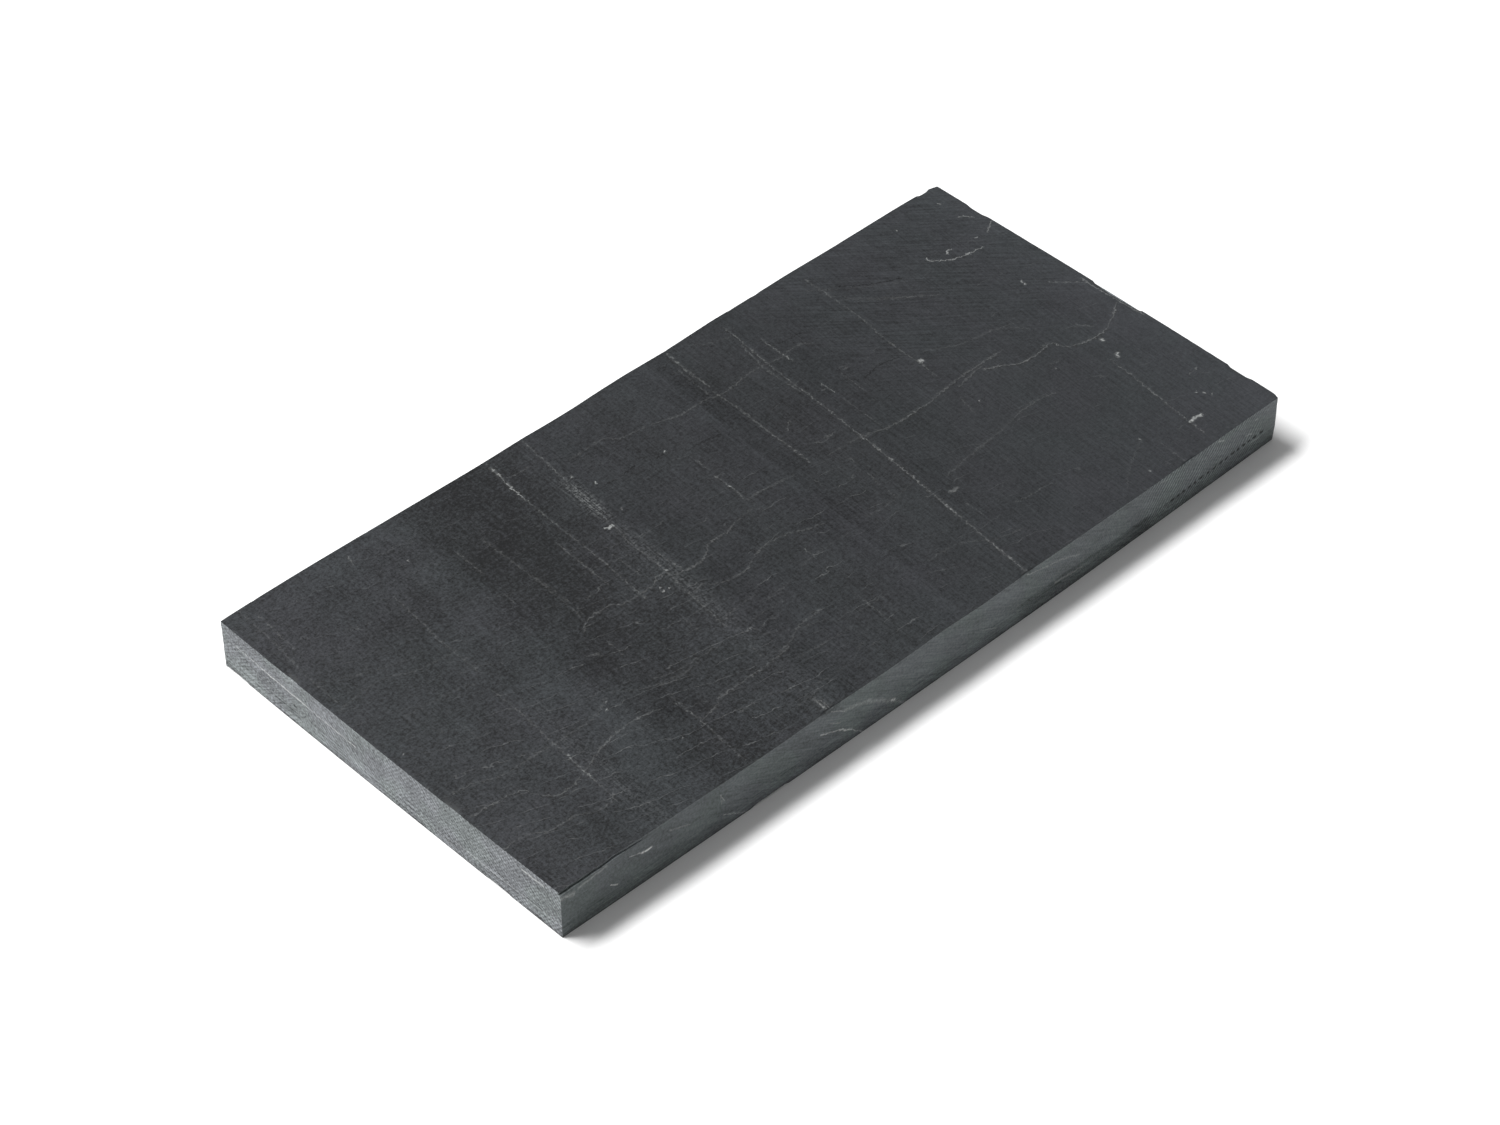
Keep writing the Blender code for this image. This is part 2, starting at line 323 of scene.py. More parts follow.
def away_from_rim(value, half, cell, rows=3, crowding=1.6):
    """Crowd the rows of cells next to a rim, to give its wear more of them."""
    reach = cell * rows
    share = ((half - value.size()) / reach).at_most(1.0)
    return value - value.maths("SIGN") * (share ** crowding - share) * reach


def scallop_group():
    """A node that moves whatever lies inside a squashed ball on to the ball, along the way into the stone."""
    group, (position, place, half, way, roughness) = new_group(
        "scallop", "GeometryNodeTree",
        {"Position": "Vector", "Place": "Vector", "Half Size": "Vector", "Way In": "Vector",
         "Roughness": "Float"},
        {"Position": "Vector", "Broken": "Float"},
    )
    offset = position.vectors("SUBTRACT", place).vectors("DIVIDE", half)
    step = way.vectors("DIVIDE", half)
    step_square = step.vectors("DOT_PRODUCT", step, output=1)
    lean = offset.vectors("DOT_PRODUCT", step, output=1)
    inside = 1.0 - offset.vectors("DOT_PRODUCT", offset, output=1)
    root = (lean * lean + step_square * inside.at_least(0.0)).maths("SQRT")
    broken = inside.above(0.0)
    travel = (root - lean) / step_square * broken
    travel = travel * (grain(group, position, SCALLOP_LUMP, seed=5.0) * roughness + 1.0)
    moved = way.vectors("MULTIPLY_ADD", join(group, travel, travel, travel), position)
    result = group.nodes.new("NodeGroupOutput")
    plug(group, moved, result.inputs["Position"])
    plug(group, broken, result.inputs["Broken"])
    return group


def put(tree, geometry, x, y, z):
    """Put every point at a place given in millimetres."""
    place = join(tree, x * MM, y * MM, z * MM)
    return wire(tree, "GeometryNodeSetPosition", {"Geometry": geometry, "Position": place})


def where(tree):
    """Each point's place now, in millimetres."""
    return wire(tree, "GeometryNodeInputPosition").vectors("DIVIDE", (MM, MM, MM))


def sawn_block(tree, size, along, across, upward):
    """The plain block, its faces marked by the number of their side, and its cells crowded to the rims."""
    block = wire(tree, "GeometryNodeMeshCube", {"Size": size,
                 "Vertices X": along + 1, "Vertices Y": across + 1, "Vertices Z": upward + 1})
    facing = split(tree, wire(tree, "GeometryNodeInputNormal"))
    ways = ((2, 1), (2, -1), (1, -1), (1, 1), (0, -1), (0, 1))
    side = constant(tree, 0.0)
    for number, (axis, sign) in enumerate(ways):
        side += (facing[axis] * float(sign)).above(0.5) * float(number)
    marked = wire(tree, "GeometryNodeStoreNamedAttribute", {"Geometry": block, "Name": "side", "Value": side},
                  domain="FACE", data_type="INT")
    x, y, z = split(tree, where(tree))
    return put(
        tree, marked,
        away_from_rim(x, HALF_LENGTH, LENGTH / CELLS_ALONG),
        away_from_rim(y, HALF_WIDTH, WIDTH / CELLS_ACROSS),
        away_from_rim(z, HALF_UP, THICKNESS / CELLS_UP) + HALF_UP,
    )


def side_bows(x, y, z, up):
    """How far the front, the rear and the ends stand out, each with its share of a point's travel."""
    front_bow = (x * (math.pi / LENGTH)).maths("COSINE").at_least(0.0) ** BOW_FULLNESS
    front_out = front_bow * (up * (TOP_BOW - FOOT_BOW) + FOOT_BOW)
    rear_foot = hump(x, REAR_BOW_PLACE, REAR_BOW_HALF) * FOOT_BOW
    rear_top = hump(x, REAR_HOLLOW_PLACE, REAR_HOLLOW_HALF) * -REAR_HOLLOW
    rear_out = rear_foot + (rear_top - rear_foot) * up
    front_share = span(y, -HALF_WIDTH + SIDE_FADE, -HALF_WIDTH, soft=False)
    rear_share = span(y, HALF_WIDTH - SIDE_FADE, HALF_WIDTH, soft=False)
    wander = ((y + z * 3.0) * (2.0 * math.pi / END_WANDER_LENGTH)).maths("SINE") * END_WANDER
    end_out = (y * (math.pi / WIDTH)).maths("COSINE") * END_BOW_MIDDLE + wander
    end_share = span(x.size(), HALF_LENGTH - SIDE_FADE, HALF_LENGTH, soft=False)
    return (front_out, front_share), (rear_out, rear_share), (end_out, end_share)


def lost_sheet(tree, x, y, z, at_front):
    """How far in the rim moves where a sheet is lost, and how far its row of points drops on to the bed."""
    flake = span(x, FLAKE_END, FLAKE_END - FLAKE_TAPER)
    waver = grain(tree, join(tree, x, 0.0, 0.0), FLAKE_WAVE, seed=4.0) * FLAKE_WAVER
    flake_share = span(y, -HALF_WIDTH + FLAKE_REACH, -HALF_WIDTH, soft=False) * z.above(FLAKE_BED)
    flake_in = flake * (waver + FLAKE_SETBACK) * flake_share
    second_row = z.above(FLAKE_BED - ROW_BELOW_BED) * z.below(FLAKE_BED + ROW_ABOVE_BED) * at_front
    return flake_in, (FLAKE_BED - z) * (second_row * span(flake, 0.05, 0.4))


def split_and_worn(tree, geometry):
    """Move the block's points on to the split face and the bowed sides, and wear its rims."""
    place = where(tree)
    x, y, z = split(tree, place)
    up = span(z, 0.0, THICKNESS)
    at_front = y.below(-HALF_WIDTH + ON_FACE)
    at_end = x.size().above(HALF_LENGTH - ON_FACE)
    at_side = y.size().above(HALF_WIDTH - ON_FACE)
    at_top_or_foot = (z - HALF_UP).size().above(HALF_UP - ON_FACE)
    rim = (at_end + at_side + at_top_or_foot).above(1.5)

    (front_out, front_share), (rear_out, rear_share), (end_out, end_share) = side_bows(x, y, z, up)
    spall = span(x, SPALL_START, HALF_LENGTH) * (1.0 - z / SPALL_TOP).at_least(0.0) * SPALL_DEPTH
    flake_in, to_bed = lost_sheet(tree, x, y, z, at_front)
    rough = grain(tree, place, RIM_CHIP_SIZE, seed=12.0)
    wear = rim * ((rough - RIM_CHIP_START).at_least(0.0) * RIM_CHIPS + RIM_WEAR)
    sawn = grain(tree, place, SAWN_LUMP, seed=20.0) * SAWN_ROUGHNESS
    new_x = x + x.maths("SIGN") * (end_out * end_share + at_end * (sawn - wear))
    new_y = y - front_out * front_share + spall * front_share + rear_out * rear_share + flake_in
    new_y = new_y + y.maths("SIGN") * at_side * (sawn - wear)
    new_z = z + split_face_height(tree, x, y, place) * up + to_bed
    new_z = new_z - (z - HALF_UP).maths("SIGN") * at_top_or_foot * wear
    return put(tree, geometry, new_x, new_y, new_z)


def scalloped(tree, place, broken):
    """Knock every scallop off the rims."""
    scallop = scallop_group()
    for spot, half_long, depth, runs in SCALLOPS:
        reach = depth * SCALLOP_REACH
        half_size = (half_long, reach, depth) if runs == "X" else (reach, half_long, depth)
        inward = (0.0, -spot[1], 0.0) if runs == "X" else (-spot[0], 0.0, 0.0)
        way = Vector(inward).normalized() + Vector((0.0, 0.0, -1.0 if spot[2] > HALF_UP else 1.0))
        bite = add(tree, "GeometryNodeGroup", {"Position": place, "Place": spot, "Half Size": half_size,
                   "Way In": tuple(way.normalized()), "Roughness": SCALLOP_ROUGHNESS}, node_tree=scallop)
        place = Wire(tree, bite.outputs["Position"])
        broken = broken.at_least(Wire(tree, bite.outputs["Broken"]))
    return place, broken


def without_corners(tree, place, broken):
    """Knock the broken corners off, each to a rough plane."""
    for (sign_x, sign_y), (reach_x, reach_y) in BROKEN_CORNERS:
        outward = Vector((sign_x / reach_x, sign_y / reach_y, 0.0))
        depth = 1.0 / outward.length
        outward.normalize()
        limit = outward.dot((sign_x * HALF_LENGTH, sign_y * HALF_WIDTH, 0.0)) - depth
        beyond = place.vectors("DOT_PRODUCT", tuple(outward), output=1) - limit
        beyond = (beyond + grain(tree, place, BREAK_LUMP, seed=15.0) * BREAK_ROUGHNESS).at_least(0.0)
        place = join(tree, beyond, beyond, beyond).vectors("MULTIPLY_ADD", tuple(-outward), place)
        broken = broken.at_least(beyond.above(0.05))
    return place, broken


def slab_tree(finishes):
    """Saw the block, move its points on to the split face, take off what is lost, and finish its sides."""
    tree, (length, width, thickness, along, across, upward) = new_group(
        "split and sawn slab", "GeometryNodeTree",
        {"Length": "Float", "Width": "Float", "Thickness": "Float",
         "Cells Along": "Int", "Cells Across": "Int", "Cells Up": "Int"},
        {"Slab": "Geometry"},
    )
    geometry = sawn_block(tree, join(tree, length, width, thickness), along, across, upward)
    geometry = split_and_worn(tree, geometry)
    place, broken = scalloped(tree, where(tree), constant(tree, 0.0))
    place, broken = without_corners(tree, place, broken)
    geometry = put(tree, geometry, *split(tree, place))
    geometry = wire(tree, "GeometryNodeStoreNamedAttribute",
                    {"Geometry": geometry, "Name": "broken", "Value": broken},
                    domain="POINT", data_type="FLOAT")
    geometry = wire(tree, "GeometryNodeRealizeInstances", {"Geometry": geometry})
    side = wire(tree, "GeometryNodeInputNamedAttribute", {"Name": "side"}, data_type="INT")
    for number, name in enumerate(SIDES):
        this_side = side.maths("COMPARE", float(number), 0.5)
        geometry = wire(tree, "GeometryNodeSetMaterial",
                        {"Geometry": geometry, "Selection": this_side, "Material": finishes[name]})
    plug(tree, geometry, tree.nodes.new("NodeGroupOutput").inputs["Slab"])
    return tree


SPLIT_VIOLET, SPLIT_GREEN = (0.0181, 0.0192, 0.0216, 1.0), (0.0172, 0.0194, 0.0211, 1.0)
VEIN_WHITE = (0.34, 0.35, 0.345, 1.0)
BROKEN_GREY = (0.030, 0.032, 0.033, 1.0)
SPLIT_GLOSS, SAWN_GLOSS, BED_GLOSS = 0.2, 0.3, 0.5
SHEET_EDGE_HALF, CRACK_HALF, PIT_HALF = 0.4, 0.4, 1.0

# tone bands of the split face, which lean as the swells do: place, half width, change
TONE_BANDS = (
    (-290, 40, 0.12), (-243, 14, -0.07), (-226, 8, 0.05), (-210, 3, -0.08), (-194, 10, 0.2),
    (-152, 20, -0.12), (-79, 7, 0.1), (155, 50, 0.08), (305, 34, 0.32),
)
# paler patches, where the face has weathered: middle, half length, half width, change of tone, and how green
PATCHES = (
    ((-230, -31), 6, 13, 0.17, -1.6), ((-192, -98), 22, 28, 0.26, 1.6), ((-275, 112), 26, 32, 0.07, -1.5),
    ((-113, 82), 9, 8, 0.12, 0.0), ((-226, -88), 8, 14, 0.09, -0.3), ((283, 5), 16, 30, 0.05, -0.7),
    ((56, 138), 8, 14, 0.05, 1.2), ((-140, 45), 14, 40, -0.06, 0.0), ((75, 52), 22, 50, -0.17, 0.0),
    ((297, 60), 16, 130, 0.12, 0.0), ((-112, 146), 18, 12, 0.14, 0.0), ((-264, 44), 30, 22, -0.11, 0.0),
    ((-240, -75), 18, 40, 0.06, 0.0), ((-130, -30), 12, 40, -0.14, 0.0), ((-235, -145), 30, 16, 0.12, 0.4),
    ((-250, -45), 8, 30, -0.08, 0.0), ((50, -70), 9, 40, -0.09, 0.0), ((20, 142), 40, 12, 0.09, 0.0),
    ((275, 100), 26, 30, 0.1, 0.0), ((-186, -60), 12, 60, 0.12, 0.3), ((-157, -110), 9, 40, -0.1, 0.0),
    ((-158, 60), 9, 45, -0.15, 0.0), ((-91, -118), 7, 30, 0.15, 0.0),
)
# quartz veins that cross the face: strength, half width, and their points as Y and X
VEINS = (
    (0.16, 0.5, ((48, -294.5), (80, -293.5), (112, -290), (153, -288))),
    (0.45, 0.4, ((132, -214), (142, -211))),
    (0.22, 0.4, ((10, -219.5), (45, -219), (72, -216), (95, -214.5))),
    (0.26, 0.4, ((-122, -232), (-86, -229), (-60, -227), (-14, -224), (-4, -224))),
    (0.5, 0.42, ((-97, -229.8), (-86, -229), (-74, -228))),
    (0.3, 0.4, ((72, -163), (92, -162), (100, -162))),
    (0.2, 0.4, ((0, -147), (20, -144), (60, -143), (98, -143))), (0.16, 0.4, ((20, -142), (50, -142))),
    (0.26, 0.38, ((-147, -157), (-120, -155), (-95, -153), (-75, -152))),
    (0.95, 0.38, ((104, -101), (125, -99), (135, -97.5), (142, -97))),
    (0.32, 0.38, ((-10, -107.5), (5, -106.5), (30, -104), (65, -102.5), (104, -101), (150, -96.5))),
    (0.34, 0.4, ((15, -115), (40, -114), (65, -113))), (0.42, 0.4, ((100, -72), (125, -69), (147, -66.5))),
    (0.36, 0.4, ((-60, -90), (-30, -87), (0, -83))), (0.6, 0.9, ((-149, -96), (-138, -95))),
    (0.3, 0.45, ((5, -82), (28, -82), (45, -79), (60, -78))),
    (0.34, 0.4, ((-9, -77), (-5, -75), (16, -76))), (0.34, 0.4, ((12, -5), (28, -3.5), (42, -4))),
    (0.42, 0.6, ((105, 52), (130, 53), (148, 54.5))), (0.34, 0.4, ((53, 49.5), (80, 50.5), (100, 50.5))),
    (0.4, 0.4, ((10, 48), (32, 48.8), (53, 49.5))),
    (0.4, 0.4, ((14, 87.5), (50, 90.5), (80, 91.5), (104, 94), (127, 96.5), (140, 97.5))),
    (0.66, 0.4, ((-40, 83), (-20, 85), (14, 87.5))), (0.5, 0.4, ((-64, 80.3), (-40, 83))),
    (0.85, 0.42, ((-88, 77.6), (-64, 80.3))), (0.4, 0.4, ((-112, 75), (-88, 77.6))),
    (0.56, 0.4, ((-150, 71), (-127, 73.5), (-112, 75))),
    (0.26, 0.4, ((60, 89), (85, 88), (105, 91), (120, 94))), (0.6, 0.4, ((85, 106), (95, 106), (116, 107))),
    (0.26, 0.4, ((12, 161), (33, 163), (45, 163), (93, 168), (140, 168.5))),
    (0.22, 0.4, ((-30, 153), (-12, 157))),
    (0.36, 0.4, ((-140, 242), (-126, 243), (-92, 247.5), (-72, 250), (-52, 251.5))),
)
# the ragged ends of thin sheets, pale lines that are partly painted highlight, each with a painted shadow
# under it: strength, and their points as X and Y
SHEET_EDGES = (
    (0.38, ((0, 103), (12, 99), (22, 96.5), (40, 97.5), (55, 94), (80, 96), (104, 93), (116, 95),
            (127, 90))),
    (0.36, ((-58, 114), (-30, 115), (-22, 107), (-3, 104))), (0.22, ((69, 144), (80, 135), (95, 130))),
    (0.6, ((-153, -5), (-137, 2), (-127, 2), (-121, -3), (-109, -4), (-97, -4), (-89, 0), (-82, -4))),
    (0.5, ((-82, -6), (-75, -8), (-65, -9), (-52, -3), (-45, 0), (-30, 0))),
    (0.3, ((-33, 0), (-20, 3), (-7, 4))), (0.3, ((-7, 12), (10, 11), (34, 8))),
    (0.26, ((60, 7), (80, 5.5), (100, 1))),
    (0.34, ((-85, -27), (-78, -24), (-70, -29), (-50, -33), (-40, -29), (-22, -25), (-10, -27), (3, -33),
            (15, -36))),
    (0.26, ((-153, -60), (-135, -66), (-118, -67), (-100, -68))),
    (0.22, ((-153, -66), (-140, -71), (-127, -70))),
    (0.6, ((-300, -71), (-268, -75), (-258, -88), (-247, -94), (-232, -91), (-210, -83), (-185, -79),
           (-163, -83))),
    (0.5, ((-153, -106), (-137, -102.5), (-133, -99), (-98, -100), (-75, -98))),
    (0.34, ((-86, -98), (-72, -95), (-53, -88), (-38, -88))),
    (0.3, ((-300, -50), (-284, -52), (-262, -60), (-240, -61), (-205, -62), (-180, -54))),
    (0.48, ((-298, -102), (-286, -104), (-272, -111), (-258, -112), (-240, -119), (-226, -111))),
    (0.24, ((-133, -116), (-112, -117), (-100, -123), (-94, -123))),
    (0.2, ((-80, -108), (-50, -110), (-35, -111))), (0.2, ((-120, -134), (-100, -136), (-80, -130))),
    (0.24, ((98, -57), (115, -55), (157, -51), (185, -47), (205, -50))),
    (0.55, ((97, 3.5), (103, -0.5), (133, -2), (157, 0.5), (183, 2), (210, 1.5))),
    (0.36, ((163, -4.5), (177, -1.5), (190, 0))),
    (0.8, ((187, -3), (199, -9), (210, -16), (223, -16.5), (235, -15), (240, -23), (247, -28), (263, -31.5),
           (280, -26.5), (297, -16.5))),
    (0.26, ((255, -12), (262, -17), (268, -24))), (0.22, ((172, 36), (196, 24), (222, 18), (238, 4))),
    (0.2, ((-230, 19), (-219, 16), (-209, 13))), (0.18, ((-274, 14), (-256, 12), (-230, 8.5))),
    (0.18, ((-276, 61), (-268, 58), (-262, 62))), (0.18, ((-300, 129), (-285, 126), (-276, 123))),
    (0.16, ((176, 100), (188, 92), (206, 79))), (0.22, ((166, 118), (182, 100), (200, 84), (222, 66))),
    (0.18, ((160, 130), (190, 108), (215, 92))), (0.18, ((172, 108), (196, 86), (214, 74))),
    (0.16, ((168, -142), (188, -128), (210, -117))),
    (0.16, ((-60, -60), (-30, -57), (-10, -52), (20, -52))),
    (0.22, ((-176, -52), (-160, -63), (-140, -69), (-118, -70))),
    (0.18, ((-80, -79), (-55, -92), (-40, -96))), (0.2, ((36, -102), (58, -104), (80, -118), (98, -122))),
    (0.16, ((-98, -128), (-70, -132), (-40, -124))), (0.16, ((30, -44), (50, -50), (80, -47))),
    (0.2, ((-298, 44), (-270, 47), (-245, 38), (-216, 34))), (0.16, ((-296, 72), (-262, 55), (-236, 46))),
)
# short straight strokes: strength, half width, and both ends as X and Y
STROKES = (
    (0.3, 0.4, (-282, 140), (-283, 125)), (0.26, 0.4, (-283, 125), (-285, 100)),
    (0.22, 0.4, (-254, -12), (-255.5, -29)), (0.26, 0.4, (-165, 52), (-166, 43)),
    (0.3, 0.4, (-141, 14), (-143, 8)), (0.24, 0.4, (-148, -20), (-149, -35)),
    (0.26, 0.4, (-95.5, 32), (-96, 8)), (0.22, 0.4, (-91, -81), (-92, -95)),
    (0.55, 0.4, (-93, -142), (-93, -150)), (0.28, 0.5, (-2, 60), (-2, 48)),
    (0.55, 0.4, (-10, -44), (-10.5, -54)), (0.2, 0.4, (-15, -92), (-17, -122)),
    (0.22, 0.4, (49, 130), (47, 98)), (0.26, 0.4, (38.5, -4), (38.5, -12)),
    (0.9, 0.45, (104, 58), (104, 46)), (0.26, 0.4, (120, 56), (119, 32)),
    (0.24, 0.4, (67.5, -4), (67.5, -11)), (0.26, 0.4, (66, -22), (64, -34)),
    (0.24, 0.4, (63.5, -42), (63.5, -48)), (0.2, 0.4, (89, -83), (89, -98)),
    (0.2, 0.4, (-126, -38), (-126, -52)), (0.2, 0.4, (-103, -35), (-103, -50)),
    (0.2, 0.4, (216, -124), (214, -150)), (0.2, 0.5, (-80, 31), (-66, 32)),
    (0.18, 0.5, (-136, 15), (-122, 17)), (0.22, 0.5, (-95, 128), (-78, 126)),
    (0.18, 0.5, (-88, -54), (-60, -51.5)), (0.16, 0.5, (-75, -66), (-50, -67)),
    (0.16, 0.5, (-27, -104), (0, -106)), (0.2, 0.4, (225, -13.5), (235, -13.5)),
    (0.18, 0.4, (213, 22), (238, 13)), (0.22, 0.4, (260, -12), (268, -23)),
    (0.18, 0.5, (30, -110), (45, -117)), (0.16, 0.5, (110, -103), (140, -106)),
    (0.5, 0.5, (58, 41), (65, 46)), (0.4, 0.4, (278, -96.5), (285, -96)), (0.4, 0.4, (280, 28), (297, 11)),
    (0.6, 0.4, (-274, -21), (-270, -22)), (0.24, 0.4, (104, 38), (103, 4)),
    (0.34, 0.4, (-155, -84), (-152, -105)),
)
# bright scrapes, where something hard has struck: strength, half width, and their points as X and Y
SCRAPES = (
    (0.7, 0.35, ((240.5, 99.5), (240, 96), (243, 93.5), (251, 87), (262, 84), (276, 82))),
    (0.75, 0.35, ((254, 93), (257, 95.5), (259.5, 94.5))),
    (0.5, 0.35, ((287, 115), (291, 114), (294.5, 108))), (0.45, 0.35, ((289, 91), (294, 94), (300, 97))),
    (0.95, 0.55, ((-83.5, 53), (-82, 51), (-80, 52))),
    (0.9, 0.9, ((244, -127), (249, -126.5), (253, -127.5))), (0.26, 1.1, ((90, -69.5), (95, -69.5))),
    (0.36, 0.45, ((298.6, 16), (298.2, 8), (298.4, -2), (299.3, -17), (300.2, -36))),
)
# small bright dots: strength, half width, and place
DOTS = (
    (0.7, 0.7, (288, 134)), (0.8, 0.7, (247.5, 133)), (0.7, 0.6, (280, 92)), (1.0, 1.3, (165, 30)),
    (0.8, 0.7, (268, 40)), (0.8, 0.7, (268, 37)), (1.0, 1.1, (261.5, -36)), (1.0, 1.2, (257.5, -52.5)),
    (0.9, 0.8, (259.8, -51)), (0.8, 0.6, (272.5, -119)), (0.8, 0.6, (267, -111)), (0.8, 0.7, (270, -115)),
    (0.7, 0.6, (209, -116)), (0.6, 0.6, (164, -22)), (0.6, 0.6, (220, -34)), (0.6, 0.6, (192, -140)),
    (0.9, 0.8, (-60, 87)), (0.6, 0.6, (-67, 101.5)), (0.6, 0.6, (-64.5, 59)), (0.8, 0.6, (-10, 78.5)),
    (0.6, 0.6, (-187.5, 113)), (0.6, 0.6, (-170, -109)), (0.6, 0.6, (-187, -62)), (0.5, 0.6, (-183, -57.5)),
    (0.7, 0.6, (-294, -8)), (1.0, 0.8, (-78.5, 51)), (0.9, 0.8, (-82, 0)), (0.6, 0.6, (-3.5, 28)),
    (0.8, 0.6, (-227, -74)), (0.9, 0.7, (-96, -12)), (0.8, 0.5, (-91.5, -12.5)), (0.6, 0.5, (-95, -9)),
)
# fine dark cracks: both ends as X and Y
CRACKS = (
    ((-192, 83.5), (-186, 83.5)), ((-183, 82.5), (-175, 84)), ((-175, 84), (-166, 84)),
    ((-57, 82), (-50, 81)), ((-43, 81), (-32, 82.5)), ((-18, 78), (-10, 78.5)), ((0, 70), (10, 69)),
    ((10, 69), (25, 66.5)), ((66, 62), (76, 62.5)), ((87, 60), (94, 60.5)), ((112, 104), (129, 102)),
    ((128, 43), (143, 45.5)), ((143, 45.5), (158, 42)), ((180, 118), (196, 106)), ((196, 106), (215, 96)),
)


def new_finish(name):
    """A material, its shader, and where each point of the stone is, in millimetres."""
    finish = bpy.data.materials.new(name)
    finish.use_nodes = True
    tree = finish.node_tree
    place = wire(tree, "ShaderNodeTexCoord", output="Object")
    return finish, tree, tree.nodes["Principled BSDF"], place.vectors("DIVIDE", (MM, MM, MM))


def blend(tree, share, first, second):
    """Mix two colours."""
    node = add(tree, "ShaderNodeMix", data_type="RGBA", clamp_factor=True)
    for slot, value in ((0, share), (6, first), (7, second)):
        plug(tree, value, node.inputs[slot])
    return Wire(tree, node.outputs[2])


def set_surface(tree, shader, colour, roughness, gloss, relief):
    """Give a shader its colour, roughness, gloss, and relief in millimetres."""
    plug(tree, colour, shader.inputs["Base Color"])
    plug(tree, roughness, shader.inputs["Roughness"])
    shader.inputs["Specular IOR Level"].default_value = gloss
    bump = wire(tree, "ShaderNodeBump", {"Height": relief * MM, "Distance": 1.0, "Strength": 1.0})
    plug(tree, bump, shader.inputs["Normal"])


def brighten(tree, colour, amount):
    """Multiply a colour by a number."""
    node = add(tree, "ShaderNodeVectorMath", operation="SCALE")
    plug(tree, colour, node.inputs[0])
    plug(tree, amount, node.inputs["Scale"])
    return Wire(tree, node.outputs[0])


def stroke_group():
    """A node that is 1 along a straight stroke and fades to both sides of it."""
    group, (place, start, run, half) = new_group(
        "stroke", "ShaderNodeTree",
        {"Place": "Vector", "From": "Vector", "Run": "Vector", "Half Width": "Float"}, {"Stroke": "Float"},
    )
    offset = place.vectors("SUBTRACT", start)
    share = offset.vectors("DOT_PRODUCT", run, output=1) / run.vectors("DOT_PRODUCT", run, output=1)
    share = share.at_least(0.0).at_most(1.0)
    beside = offset.vectors("SUBTRACT", brighten(group, run, share)).vectors("LENGTH", output=1)
    plug(group, hump(beside, 0.0, half), group.nodes.new("NodeGroupOutput").inputs["Stroke"])
    return group


straight_stroke = stroke_group()
SHORTEST_RUN = 0.001


def stroke(tree, place, start, end, half):
    """A straight stroke between two points of a face, or a dot where they are one."""
    run = (end[0] - start[0] + SHORTEST_RUN, end[1] - start[1], 0.0)
    inputs = {"Place": place, "From": (*start, 0.0), "Run": run, "Half Width": half}
    return wire(tree, "ShaderNodeGroup", inputs, node_tree=straight_stroke)


def strand(run, beside, points, half):
    """A thin line through its points, given as their place along the run and beside it, and its shadow."""
    (start, _), (end, _) = points[0], points[-1]
    ends = between(run, start - 1.0, end + 1.0, 3.0)
    offset = beside - line_across(run, points)
    line = hump(offset, 0.0, half) + hump(offset, 0.0, 3.4 * half) * 0.18
    return line * ends, hump(offset, -2.6 * half, 1.4 * half) * ends


def strands(run, beside, lines):
    """Thin lines, each with its strength, half width and points, and the shadows of them all."""
    drawn, shades = constant(run.tree, 0.0), constant(run.tree, 0.0)
    for strength, half, points in lines:
        line, shade = strand(run, beside, points, half)
        drawn += line * strength
        shades += shade * strength
    return drawn, shades


def gather(tree, name, place, build, masks):
    """Put lines that share a place into a group of their own, which gives back the masks that are named."""
    group, (given,) = new_group(name, "ShaderNodeTree", {"Place": "Vector"}, dict.fromkeys(masks, "Float"))
    result = group.nodes.new("NodeGroupOutput")
    for mask, slot in zip(build(group, given), result.inputs):
        plug(group, mask, slot)
    node = add(tree, "ShaderNodeGroup", {"Place": place}, node_tree=group)
    return [Wire(tree, node.outputs[mask]) for mask in masks]


def vein_lines(tree, place):
    """The veins, which run across the face."""
    x, y, _ = split(tree, place)
    return strands(y, x, VEINS)


def sheet_edge_lines(tree, place):
    """The ends of the thin sheets, which run along the face: pale lines, partly painted highlight, and their
    painted shadows.
    """
    x, y, _ = split(tree, place)
    return strands(x, y, [(strength, SHEET_EDGE_HALF, points) for strength, points in SHEET_EDGES])


def stroke_lines(tree, place):
    """The straight strokes, and the cracks."""
    lines, cracks = constant(tree, 0.0), constant(tree, 0.0)
    for strength, half, start, end in STROKES:
        lines += stroke(tree, place, start, end, half) * strength
    for start, end in CRACKS:
        cracks = cracks.at_least(stroke(tree, place, start, end, CRACK_HALF))
    return lines, cracks


def scrape_lines(tree, place):
    """The scrapes and the dots."""
    lines = constant(tree, 0.0)
    for strength, half, points in SCRAPES:
        for start, end in zip(points, points[1:]):
            lines = lines.at_least(stroke(tree, place, start, end, half) * strength)
    for strength, half, spot in DOTS:
        lines = lines.at_least(stroke(tree, place, spot, spot, half) * strength)
    return (lines,)


